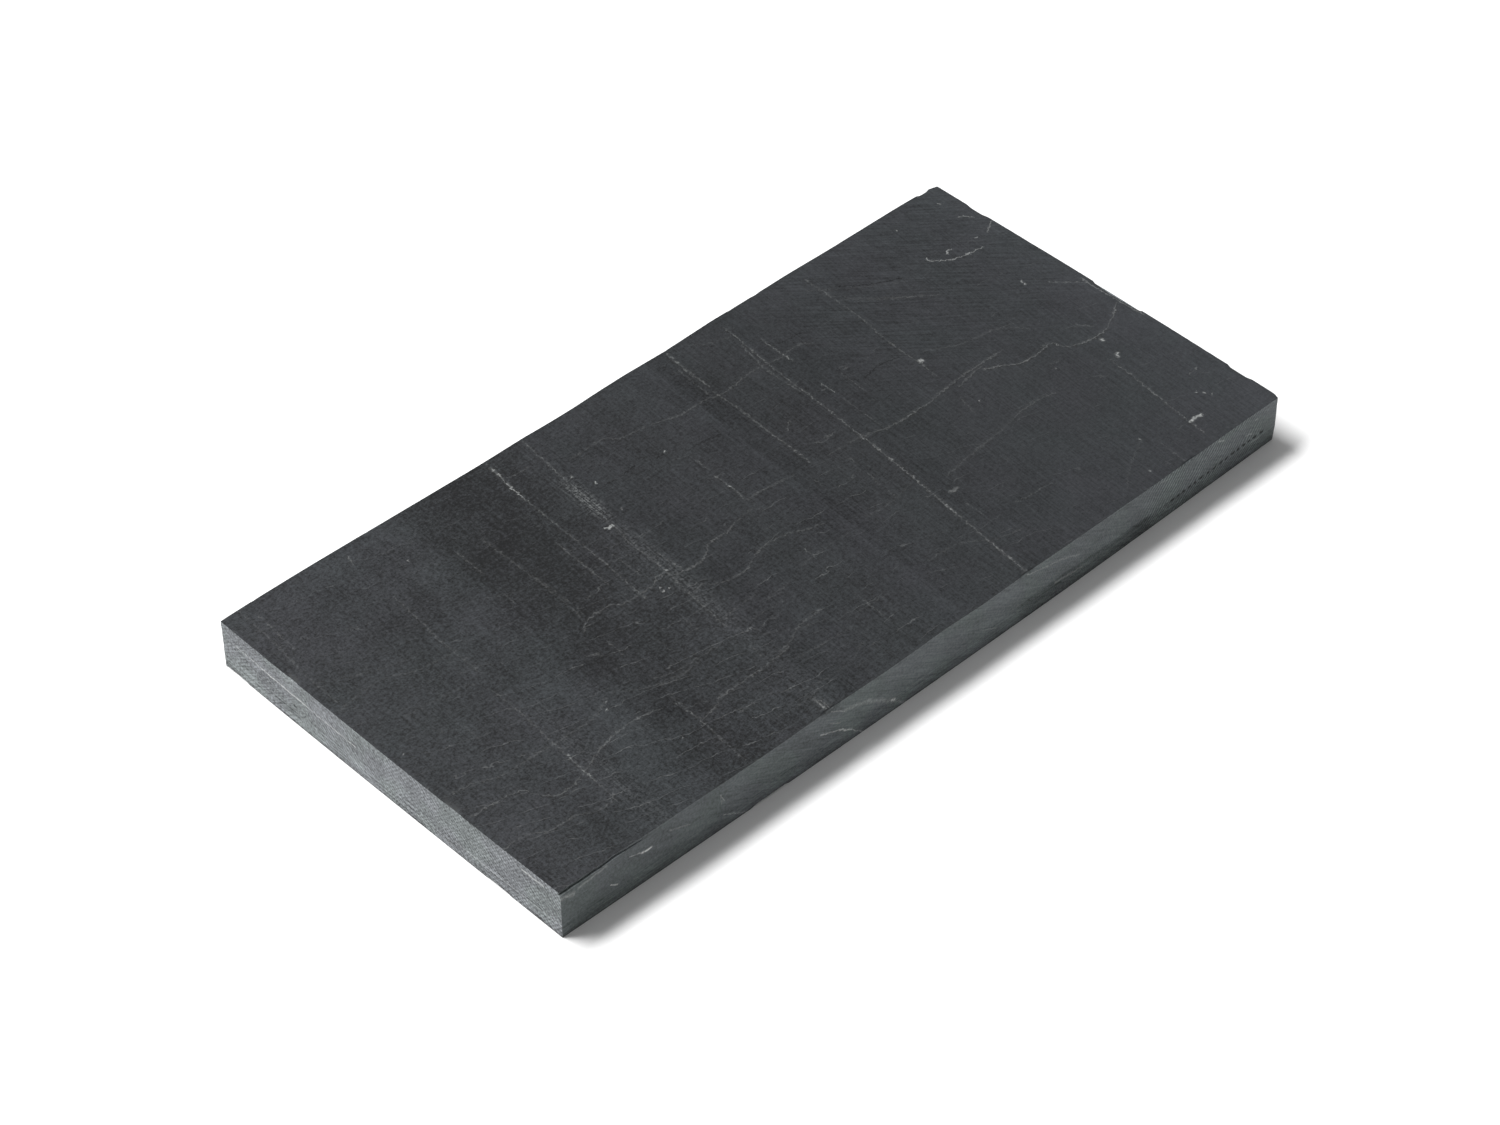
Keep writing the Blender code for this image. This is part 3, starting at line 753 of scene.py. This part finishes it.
def split_face_grain(tree, place):
    """The directions of the split face, and the noises that its grain and its thin layers are made of."""
    x, y, _ = split(tree, place)
    leaned = x - y * SWELL_LEAN
    level = y + x * 0.08 + x * x.size() * 0.0005
    busy = span(x, 200.0, -60.0, 0.40, 0.68) + span(x, -60.0, -100.0) * 0.28

    fine = grain(tree, place, 2.0, seed=31.0, detail=4.0, stretch=(1.4, 1.0, 1.0), flat=True, grit=0.9)
    coarse = grain(tree, place, 7.0, seed=32.0, detail=4.0, flat=True, grit=0.6)
    clouds = grain(tree, place, 34.0, seed=39.0, detail=2.0, flat=True)
    fibres = join(tree, leaned, y, 0.0)
    fibres = grain(tree, fibres, 1.8, seed=33.0, detail=2.0, stretch=(0.6, 14.0, 1.0), flat=True)

    # hair-thin threads that run aslant, pale ones and dark ones, painted as the lit and shaded sides of fine
    # ridges; they also give a little relief
    aslant = join(tree, x - y * 0.6, y + x * 0.6, 0.0)
    crinkle = grain(tree, aslant, 3.2, seed=35.0, detail=3.0, stretch=(2.6, 1.0, 1.0), flat=True, grit=0.7)
    creases = grain(tree, aslant, 3.8, seed=25.0, detail=3.0, stretch=(2.2, 1.0, 1.0), flat=True, grit=0.7)
    threads = span(crinkle.size(), 0.09, 0.0) - span(creases.size(), 0.09, 0.0)

    # what breaks the lines up, and the layers that come to the surface one behind the other
    sparse = span(grain(tree, place, 20.0, seed=37.0, detail=2.0, flat=True), -0.35, 0.35)
    breaks = grain(tree, place, 3.0, seed=36.0, detail=3.0, flat=True, grit=0.7)
    broken_up = span(breaks, -0.4, 0.3, 0.25, 1.0) * (sparse * 0.5 + 0.5)
    beaded = span(breaks, -0.10, 0.26, 0.20, 1.0)
    along = join(tree, x, level, 0.0)
    along = grain(tree, along, 20.0, seed=34.0, detail=3.0, stretch=(3.0, 1.0, 1.0), flat=True)
    layers = (along * 0.8 + coarse * 0.14 + level * 0.075).maths("FRACT")
    return SimpleNamespace(
        x=x, y=y, leaned=leaned, busy=busy, fine=fine, coarse=coarse, clouds=clouds, fibres=fibres,
        threads=threads, sparse=sparse, broken_up=broken_up, beaded=beaded, layers=layers,
    )


def split_face_tone(tree, stone):
    """How light the split face is, by bands, patches and grain, and how green it is."""
    x, y, leaned = stone.x, stone.y, stone.leaned
    tone = constant(tree, 1.0)
    for middle, half, change in TONE_BANDS:
        tone += hump(leaned, middle, half) * change
    tone += hump(x, -120.0, 32.0) * span(y, -90.0, 90.0) * -0.26 + span(leaned, -171.0, -178.0) * 0.13
    dark_sheet = span(leaned, -178.0, -171.0) * span(x - y * 0.25, -98.0, -138.0)
    tone += dark_sheet * span(y, -60.0, 80.0, -0.06, -0.16) + span(x, 90.0, 260.0) * 0.27
    tone += span(y, 20.0, -150.0) * span(x, -90.0, -20.0) * 0.13 + span(y, 112.0, 146.0) * 0.10
    far_band = x - y * 0.062
    pale_strip = span(far_band, 19.0, 26.0) * 0.16 + span(far_band, 8.0, 24.0) * 0.05
    tone += pale_strip * span(far_band, 30.2, 28.2)
    tone += span(far_band, 28.0, 30.0) * span(far_band, 62.0, 42.0) * span(y, -100.0, 60.0) * -0.13
    green = constant(tree, 0.0)
    frayed_x, frayed_y = x + stone.coarse * 8.0, y + stone.clouds * 12.0
    for (middle_x, middle_y), half_long, half_wide, change, greener in PATCHES:
        patch = hump(frayed_x, middle_x, half_long) * hump(frayed_y, middle_y, half_wide)
        tone += patch * change
        green += patch * greener

    speckle = stone.fine * 2.7 + stone.threads * 0.38 + stone.coarse * 0.50 + stone.clouds * 0.50
    # each thin layer is painted lighter at one edge and darker at the other, as painted light and shade
    # across its slope
    tone += (speckle - (stone.layers - 0.5) * stone.sparse * 0.20) * stone.busy
    tone += stone.fibres * 0.48
    drawn = join(tree, x * 0.76 - y * 0.65, x * 0.65 + y * 0.76, 0.0)
    drawn = grain(tree, drawn, 1.6, seed=29.0, detail=2.0, stretch=(16.0, 1.0, 1.0), flat=True)
    tone += drawn * span(x, 80.0, 170.0) * span(y, -40.0, 60.0) * 0.7
    return tone, green


def split_face_marks(tree, place, stone):
    """The pale lines and brushed streaks of the split face, its cracks, and the shadows beside its lines."""
    y, leaned = stone.y, stone.leaned
    swirl = {"Vector": place, "Scale": 0.4, "Detail": 3.0}
    shift = wire(tree, "ShaderNodeTexNoise", swirl, "Color", noise_dimensions="2D")
    shift = shift.vectors("SUBTRACT", (0.5, 0.5, 0.5))
    near = shift.vectors("MULTIPLY_ADD", (4.0, 4.5, 0.0), place.vectors("MULTIPLY", (1.0, 1.0, 0.0)))
    veins, vein_shades = gather(tree, "veins", near, vein_lines, ("Veins", "Shades"))
    edges, edge_shades = gather(tree, "sheet edges", near, sheet_edge_lines, ("Edges", "Shades"))
    strokes, cracks = gather(tree, "strokes", near, stroke_lines, ("Strokes", "Cracks"))
    (scrapes,) = gather(tree, "scrapes", near, scrape_lines, ("Scrapes",))
    veins += strokes

    layers = stone.layers
    # pale lips along the layers' edges, partly painted highlight where the edges catch the light
    lips = span(layers, 0.0, 0.015) * span(layers, 0.045, 0.015)
    lips = lips * span(stone.busy + stone.sparse * 0.8, 0.9, 1.7)
    lips = lips * span(y - stone.x * 0.3, 90.0, 0.0, 0.3, 1.0)
    brushed = hump(leaned, -80.0, 4.5) * span(y, 112.0, 84.0)
    brushed = brushed * span(y, 52.0, 72.0, 0.14, 1.0) * span(y, -95.0, -20.0)
    brushed += hump(leaned, -82.0, 8.0) * span(y, 60.0, 10.0) * span(y, -90.0, -10.0, 0.4, 1.0) * 0.10
    brushed += hump(leaned, -213.0, 7.0) * span(y, 20.0, -110.0) * 0.14
    brushed = brushed * span(stone.fibres + stone.fine * 2.0 + stone.threads * 0.3, -0.3, 0.9)
    pale = veins * 0.50 * stone.beaded + edges * 0.34 * stone.broken_up + scrapes * (stone.beaded * 0.5 + 0.5)
    pale = (pale + lips * (stone.broken_up + 0.4) * 0.17 + brushed * 0.34).at_most(1.0)
    return pale, cracks, vein_shades + edge_shades


def broken_stone(tree):
    """1 where a knock has broken the stone."""
    return wire(tree, "ShaderNodeAttribute", output="Fac", attribute_name="broken")


def split_face_finish():
    """Dark grey riven slate with pale quartz veins, ragged sheet edges, cracks and scrapes."""
    finish, tree, shader, place = new_finish("split face")
    stone = split_face_grain(tree, place)
    tone, green = split_face_tone(tree, stone)
    pale, cracks, shades = split_face_marks(tree, place, stone)
    fine, coarse = stone.fine, stone.coarse

    to_rim = (HALF_LENGTH + 0.4 - stone.x.size()).at_most(HALF_WIDTH + 0.6 - stone.y.size())
    worn = span(to_rim + fine * 0.8, 1.0, 0.1) * 0.3
    green = green * 0.4 + grain(tree, place, 45.0, seed=38.0, flat=True) * 0.6 + fine * 0.3
    tint = blend(tree, span(green, -0.4, 0.4), SPLIT_VIOLET, SPLIT_GREEN)
    base = brighten(tree, tint, tone.at_least(0.25))
    base = blend(tree, worn.at_least(broken_stone(tree)), base, BROKEN_GREY)
    base = brighten(tree, base, (1.0 - cracks * 0.75) * (1.0 - shades * stone.broken_up * 0.9).at_least(0.3))
    base = blend(tree, pale, base, VEIN_WHITE)
    roughness = fine * 0.10 + coarse * 0.08 + pale * 0.15 + 0.62
    relief = fine * 0.030 + stone.threads * 0.020 + coarse * 0.12
    relief += span(stone.layers, 0.0, 0.12) * stone.busy * 0.06
    set_surface(tree, shader, base, roughness, SPLIT_GLOSS, relief)
    return finish


# the sawn sides: their grey, the way they run, how rough they are, and whether a lost sheet left a ledge with
# painted shade along it.
# Streaks: angle, start, end, width, strength. Hatch: angle, start, end, spacing, strength. Bands that rise
# from the foot: start, end, top, change of tone. Strokes: strength, half width, both ends. Pits: the points
# of a row. Places are along the side and up it
SAWN_SIDES = {
    "front side": {
        # this side's grey is darker than the ends', partly as painted shade, because it faces away from the
        # soft box
        "grey": (0.094, 0.105, 0.107), "along": "X", "rough": 0.7, "ledge_shade": True,
        "streaks": ((-28, -200, 330, 1.4, 0.36), (-22, -260, 160, 5.0, 0.3)),
        "hatch": ((52, 165, 300, 2.6, 0.6), (58, 60, 190, 1.9, 0.16), (-30, -180, 60, 1.7, 0.07)),
        "bands": (
            # the first two bands are painted shade on the front foot below SPALL_TOP, where it leans in
            # towards the right end
            (60, 190, 13.0, -0.32), (160, 310, 12.0, -0.24), (-320, 20, 9.0, -0.04),
            (-340, -215, 40.0, -0.06), (-90, 330, 40.0, 0.13), (190, 330, 40.0, 0.05),
        ),
        "strokes": (
            (0.4, 0.35, (-250, 28), (-241, 24.5)), (1.1, 0.6, (-241, 24.5), (-234, 23.8)),
            (0.9, 0.5, (-265, 15.8), (-260, 13.2)), (0.12, 0.4, (-248, 9), (-240, 3)),
            (0.16, 0.4, (-181, 27), (-180, 20)), (0.3, 0.35, (-181, 27), (-178, 21)),
            (0.34, 0.35, (-179, 10.4), (-161, 0)), (0.35, 0.35, (-93, 33), (-82, 26)),
            (0.3, 0.35, (-94, 23.7), (-86, 19.4)), (0.5, 0.4, (-102, 20.5), (-87, 14.2)),
            (0.85, 0.5, (-87, 14.2), (-77, 7.6)), (0.5, 0.4, (-77, 7.6), (-68, 0)),
            (0.2, 1.2, (-82, 26.9), (-64, 21.6)), (0.24, 1.4, (-64, 21.6), (-43, 8.2)),
            (0.2, 1.0, (-43, 8.2), (-33, 0)), (1.0, 0.8, (-44, 9.0), (-42, 8.2)),
            (0.3, 1.6, (-306, 33), (-292, 29)), (0.24, 0.9, (-288, 31), (-268, 33)),
            (0.3, 0.5, (-66, 22.5), (-63, 20.5)), (0.34, 0.35, (71, 34), (80, 31.6)),
            (0.2, 0.7, (96, 12.0), (120, 9.0)), (0.24, 0.5, (80, 31.6), (100, 27.4)),
            (0.2, 0.6, (100, 27.4), (117, 20.9)), (0.2, 0.4, (33, 14.5), (44, 8.6)),
            (0.34, 0.5, (244, 34), (249, 31)), (0.34, 0.4, (279, 30), (281, 29.6)),
            (0.45, 0.4, (271, 21.8), (277, 20)), (0.26, 0.4, (277, 12.8), (285, 12.6)),
            (0.2, 0.4, (190, 33), (198, 31)), (0.16, 0.6, (-220, 27), (-205, 21)),
        ),
        "pits": ((197, 11.2), (216, 12.4), (245, 14.0), (270, 15.4), (289, 15.9)),
    },
    "left end": {
        "grey": (0.164, 0.174, 0.18), "along": "Y", "rough": 1.4, "ledge_shade": False,
        "streaks": ((142, 60, 170, 1.0, 0.7), (45, -170, 90, 1.0, 0.55)),
        "hatch": ((142, 88, 170, 2.3, 0.24), (45, -170, 88, 2.6, 0.3), (135, -170, 20, 2.2, 0.24)),
        "bands": ((-170, 170, 3.0, -0.1), (-80, 100, 40.0, 0.06), (-170, 0, 7.5, -0.07)),
        "strokes": (
            (0.6, 0.45, (137, 24.9), (99, 23.4)), (1.0, 0.5, (112, 23.8), (72, 22.8)),
            (0.5, 0.45, (72, 22.8), (52, 22.2)), (0.7, 0.45, (53, 22.6), (26, 22.0)),
            (0.16, 0.35, (1, 5.2), (-57, 4.2)), (0.14, 0.35, (-27, 6.6), (-56, 6.2)),
            (0.8, 0.5, (-118, 31), (-136, 31)), (0.2, 0.4, (-73, 19.3), (-90, 19.1)),
            (0.32, 0.4, (-60, 8.9), (-148, 8.9)), (0.16, 0.4, (-53, 5.3), (-69, 5.2)),
            (0.16, 0.4, (-121, 3.7), (-134, 3.6)), (0.12, 0.4, (-53, 1.6), (-75, 1.6)),
        ),
        "pits": ((83, 15.4), (82.4, 14.8)),
    },
    "rear side": {
        "grey": (0.125, 0.136, 0.142), "along": "X", "rough": 0.9, "ledge_shade": False,
        "streaks": ((30, -320, 40, 2.2, 0.4), (-42, -20, 330, 1.4, 0.24)),
        "hatch": ((-52, 40, 300, 2.6, 0.14), (35, -260, 0, 2.4, 0.08)),
        "bands": ((-320, 60, 8.0, -0.12),),
        "strokes": (
            (0.35, 0.4, (-120, 27), (-98, 20)), (0.3, 0.35, (93, 34), (80, 12)),
            (0.3, 0.4, (-98, 34), (-104, 6)), (0.25, 0.5, (210, 18), (228, 13)),
            (0.22, 0.4, (-240, 12), (-221, 7)), (0.2, 0.8, (20, 25), (44, 15)),
        ),
        "pits": ((-172, 9.4), (-150, 9.9)),
    },
    "right end": {
        "grey": (0.12, 0.131, 0.137), "along": "Y", "rough": 1.0, "ledge_shade": False,
        "streaks": ((-38, -170, 170, 1.6, 0.34),),
        "hatch": ((-45, -150, 20, 2.4, 0.12), (40, 30, 160, 2.8, 0.1)),
        "bands": ((-170, 170, 6.0, -0.1),),
        "strokes": (
            (0.3, 0.4, (-120, 25), (-60, 23.5)), (0.22, 0.4, (10, 9), (74, 8.2)),
            (0.4, 0.45, (88, 29), (102, 29)), (0.2, 0.4, (-40, 15), (-12, 14.6)),
        ),
        "pits": ((12, 13.2), (24, 12.9)),
    },
}
SAW_WHITE = (0.60, 0.61, 0.60, 1.0)
SAW_GREEN, SAW_VIOLET = (0.975, 1.012, 0.99, 1.0), (0.995, 0.99, 1.015, 1.0)
SAW_FADE, BAND_FADE = 25.0, 12.0
FIRST_STREAK_SEED = 50.0


def turned(run, up, angle):
    """The directions of a side, turned to lie along the saw's marks and across them."""
    turn = math.radians(angle)
    return run * math.cos(turn) + up * math.sin(turn), up * math.cos(turn) - run * math.sin(turn)


def saw_cuts(tree, side, run, up, fine, coarse):
    """What the saw has left: broad streaks and close hatching, which climb at an angle."""
    cuts = constant(tree, 0.0)
    for number, (angle, start, end, width, strength) in enumerate(side["streaks"]):
        place = join(tree, *turned(run, up, angle), 0.0)
        seed = FIRST_STREAK_SEED + number
        streak = grain(tree, place, width, seed=seed, detail=3.0, stretch=(14.0, 1.0, 1.0), flat=True)
        cuts += streak * between(run, start, end, SAW_FADE) * strength
    for angle, start, end, spacing, strength in side["hatch"]:
        _, across = turned(run, up, angle)
        beat = (across * (2.0 * math.pi / spacing) + coarse * 4.0).maths("SINE")
        beat = beat * span(coarse + fine, -0.4, 0.4, 0.35, 1.0)
        cuts += beat * between(run, start, end, SAW_FADE) * strength
    return cuts


def sawn_finish(name):
    """Sawn slate: pale dusty grey with saw streaks, thin bedding lines, pits and scratches, and painted shade
    along its foot.
    """
    side = SAWN_SIDES[name]
    finish, tree, shader, place = new_finish(name)
    x, y, z = split(tree, place)
    run = x if side["along"] == "X" else y
    face = join(tree, run, z, 0.0)
    fine = grain(tree, face, 2.0, seed=41.0, detail=4.0, flat=True, grit=0.85)
    coarse = grain(tree, face, 12.0, seed=42.0, detail=3.0, stretch=(1.6, 1.0, 1.0), flat=True)
    bedding = grain(tree, face, 0.8, seed=43.0, detail=2.0, stretch=(45.0, 1.0, 1.0), flat=True)
    cuts = saw_cuts(tree, side, run, z, fine, coarse)
    tone = fine * 1.3 + coarse * 0.3 + bedding * (span(z, 15.0, 8.0) * 0.7 + 0.25)
    tone = tone * side["rough"] + 1.0 + cuts
    for start, end, top, change in side["bands"]:
        tone += between(run, start, end, BAND_FADE) * span(z + coarse * 2.0, top + 1.0, top) * change

    def marks(group, spot):
        """The scratches and the pits of this side."""
        lines, pits = constant(group, 0.0), constant(group, 0.0)
        for strength, half, start, end in side["strokes"]:
            lines = lines.at_least(stroke(group, spot, start, end, half) * strength)
        for start, end in zip(side["pits"], side["pits"][1:]):
            pits = pits.at_least(stroke(group, spot, start, end, PIT_HALF))
        return lines, pits

    swirl = grain(tree, face, 5.0, seed=44.0, detail=3.0, flat=True) * 0.9
    near = join(tree, run + swirl, z + swirl, 0.0)
    pale, pits = gather(tree, name + " marks", near, marks, ("Scratches", "Pits"))
    pale = pale * span(fine, -0.4, 0.3, 0.25, 1.0)
    pits = pits * span((run * 1.1 + coarse * 5.0).maths("SINE") + fine * 2.0, -0.4, 0.2)

    # painted shade along the foot of the side, darkest where it meets the floor
    foot_shade = span(z + fine * 0.5, 1.5, 0.3)
    tint = span(grain(tree, face, 30.0, seed=45.0, flat=True), -0.25, 0.25)
    tint = blend(tree, tint, SAW_GREEN, SAW_VIOLET)
    base = brighten(tree, tint.vectors("MULTIPLY", side["grey"]), tone.at_least(0.15))
    base = blend(tree, broken_stone(tree) * 0.5, base, BROKEN_GREY)
    base = brighten(tree, base, (1.0 - pits * 0.95) * (1.0 - foot_shade * 0.5) * (span(z, 11.0, 3.0) * 0.13 + 1.0))
    # painted shade: a thin dark band along the bed of the lost sheet at the front's left end, where its step
    # shades the side
    if side["ledge_shade"]:
        ledge_shade = span(x, FLAKE_END + 3.0, FLAKE_END - 6.0) * hump(z + fine * 0.8, FLAKE_BED + 0.5, 0.5)
        base = brighten(tree, base, 1.0 - ledge_shade * 0.2)
    base = blend(tree, pale, base, SAW_WHITE)
    relief = cuts * 0.10 + fine * 0.03 + coarse * 0.05 - pits * 0.25 + bedding * 0.01
    set_surface(tree, shader, base, fine * 0.08 + 0.68, SAWN_GLOSS, relief)
    return finish


def bed_finish():
    """The underside, riven and plain."""
    finish, tree, shader, place = new_finish("bed")
    fine = grain(tree, place, 1.6, seed=61.0, detail=3.0, flat=True)
    coarse = grain(tree, place, 14.0, seed=62.0, detail=4.0, stretch=(2.0, 1.0, 1.0), flat=True)
    layers = (coarse * 4.0).maths("FRACT")
    tone = fine * 0.6 + coarse * 0.9 + (layers - 0.5) * 0.35 + 1.3 + hump(layers, 0.03, 0.02) * 0.9
    relief = fine * 0.03 + coarse * 0.12 + span(layers, 0.0, 0.12) * 0.06
    set_surface(tree, shader, brighten(tree, SPLIT_VIOLET[:3], tone), fine * 0.08 + 0.66, BED_GLOSS, relief)
    return finish


finishes = {"split face": split_face_finish(), "bed": bed_finish()}
for name in SAWN_SIDES:
    finishes[name] = sawn_finish(name)

SHARP_ANGLE = 38
slab = bpy.data.objects.new("slab", bpy.data.meshes.new("slab blank"))
bpy.context.scene.collection.objects.link(slab)
shaping = slab.modifiers.new("split and saw", "NODES")
shaping.node_group = slab_tree(finishes)
slab_sizes = {"Length": LENGTH * MM, "Width": WIDTH * MM, "Thickness": THICKNESS * MM,
              "Cells Along": CELLS_ALONG, "Cells Across": CELLS_ACROSS, "Cells Up": CELLS_UP}
for socket in shaping.node_group.interface.items_tree:
    if socket.name in slab_sizes:
        shaping[socket.identifier] = slab_sizes[socket.name]
evaluated = slab.evaluated_get(bpy.context.evaluated_depsgraph_get())
slab_mesh = bpy.data.meshes.new_from_object(evaluated)
slab.modifiers.remove(shaping)
slab.data = slab_mesh
slab_mesh.shade_smooth()
slab_mesh.set_sharp_from_angle(angle=math.radians(SHARP_ANGLE))
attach(slab, "root")
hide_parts("slate_slab")

# ---------------------------------------------------------------------------------------------------
# THE STUDIO
# The slab lies on a pale paper floor in a white room, which fills its shadows. One large soft box stands
# high behind it on the left, and the camera looks down on its near left corner through a long lens.
# ---------------------------------------------------------------------------------------------------
FLOOR_HALF = 8.0
FLOOR_DROP = 0.00005
PAPER_WHITE = (0.87, 0.87, 0.87, 1.0)
bpy.ops.mesh.primitive_plane_add(size=2 * FLOOR_HALF, location=(0.0, 0.0, -FLOOR_DROP))
floor = bpy.context.object
floor.name = "floor"
paper = bpy.data.materials.new("white paper")
paper.use_nodes = True
paper_shader = paper.node_tree.nodes["Principled BSDF"]
paper_shader.inputs["Base Color"].default_value = PAPER_WHITE
paper_shader.inputs["Roughness"].default_value = 0.9
paper_shader.inputs["Specular IOR Level"].default_value = 0.0
floor.data.materials.append(paper)

AZIMUTH, ELEVATION, ROLL = math.radians(-43.66), math.radians(43.08), math.radians(0.225)
CAMERA_DISTANCE = 2.4606
FOCAL_LENGTH, SENSOR_WIDTH = 96.77, 36.0
LOOKS_AT = Vector((-0.01533, -0.00213, 0.0))
camera_data = bpy.data.cameras.new("camera")
camera_data.lens = FOCAL_LENGTH
camera_data.sensor_width = SENSOR_WIDTH
camera = bpy.data.objects.new("camera", camera_data)
bpy.context.scene.collection.objects.link(camera)
turn = Matrix.Rotation(AZIMUTH, 4, "Z") @ Matrix.Rotation(math.pi / 2 - ELEVATION, 4, "X")
turn = turn @ Matrix.Rotation(-ROLL, 4, "Z")
camera.matrix_world = Matrix.Translation(LOOKS_AT + turn.to_3x3() @ Vector((0, 0, CAMERA_DISTANCE))) @ turn
bpy.context.scene.camera = camera

KEY_TURN, KEY_HEIGHT, KEY_TILT = math.radians(122.0), math.radians(58.3), math.radians(-17.0)
KEY_DISTANCE, KEY_LONG, KEY_SHORT, KEY_POWER = 8.0, 5.2, 2.4, 980.0
key_data = bpy.data.lights.new("soft box", "AREA")
key_data.shape = "RECTANGLE"
key_data.size = KEY_LONG
key_data.size_y = KEY_SHORT
key_data.energy = KEY_POWER
key = bpy.data.objects.new("soft box", key_data)
towards = Vector((math.cos(KEY_TURN) * math.cos(KEY_HEIGHT), math.sin(KEY_TURN) * math.cos(KEY_HEIGHT),
                  math.sin(KEY_HEIGHT)))
level = Vector((-math.sin(KEY_TURN), math.cos(KEY_TURN), 0.0))
long_way = level * math.cos(KEY_TILT) + level.cross(towards) * -math.sin(KEY_TILT)
short_way = towards.cross(long_way)
key.matrix_world = Matrix((long_way, short_way, towards)).transposed().to_4x4()
key.location = towards * KEY_DISTANCE
bpy.context.scene.collection.objects.link(key)

ROOM_WHITE = (1.0, 1.0, 1.0, 1.0)
ROOM_LIGHT = 0.30
world = bpy.data.worlds.new("white room")
world.use_nodes = True
world.node_tree.nodes["Background"].inputs["Color"].default_value = ROOM_WHITE
world.node_tree.nodes["Background"].inputs["Strength"].default_value = ROOM_LIGHT
bpy.context.scene.world = world
bpy.context.scene.view_settings.view_transform = "Standard"
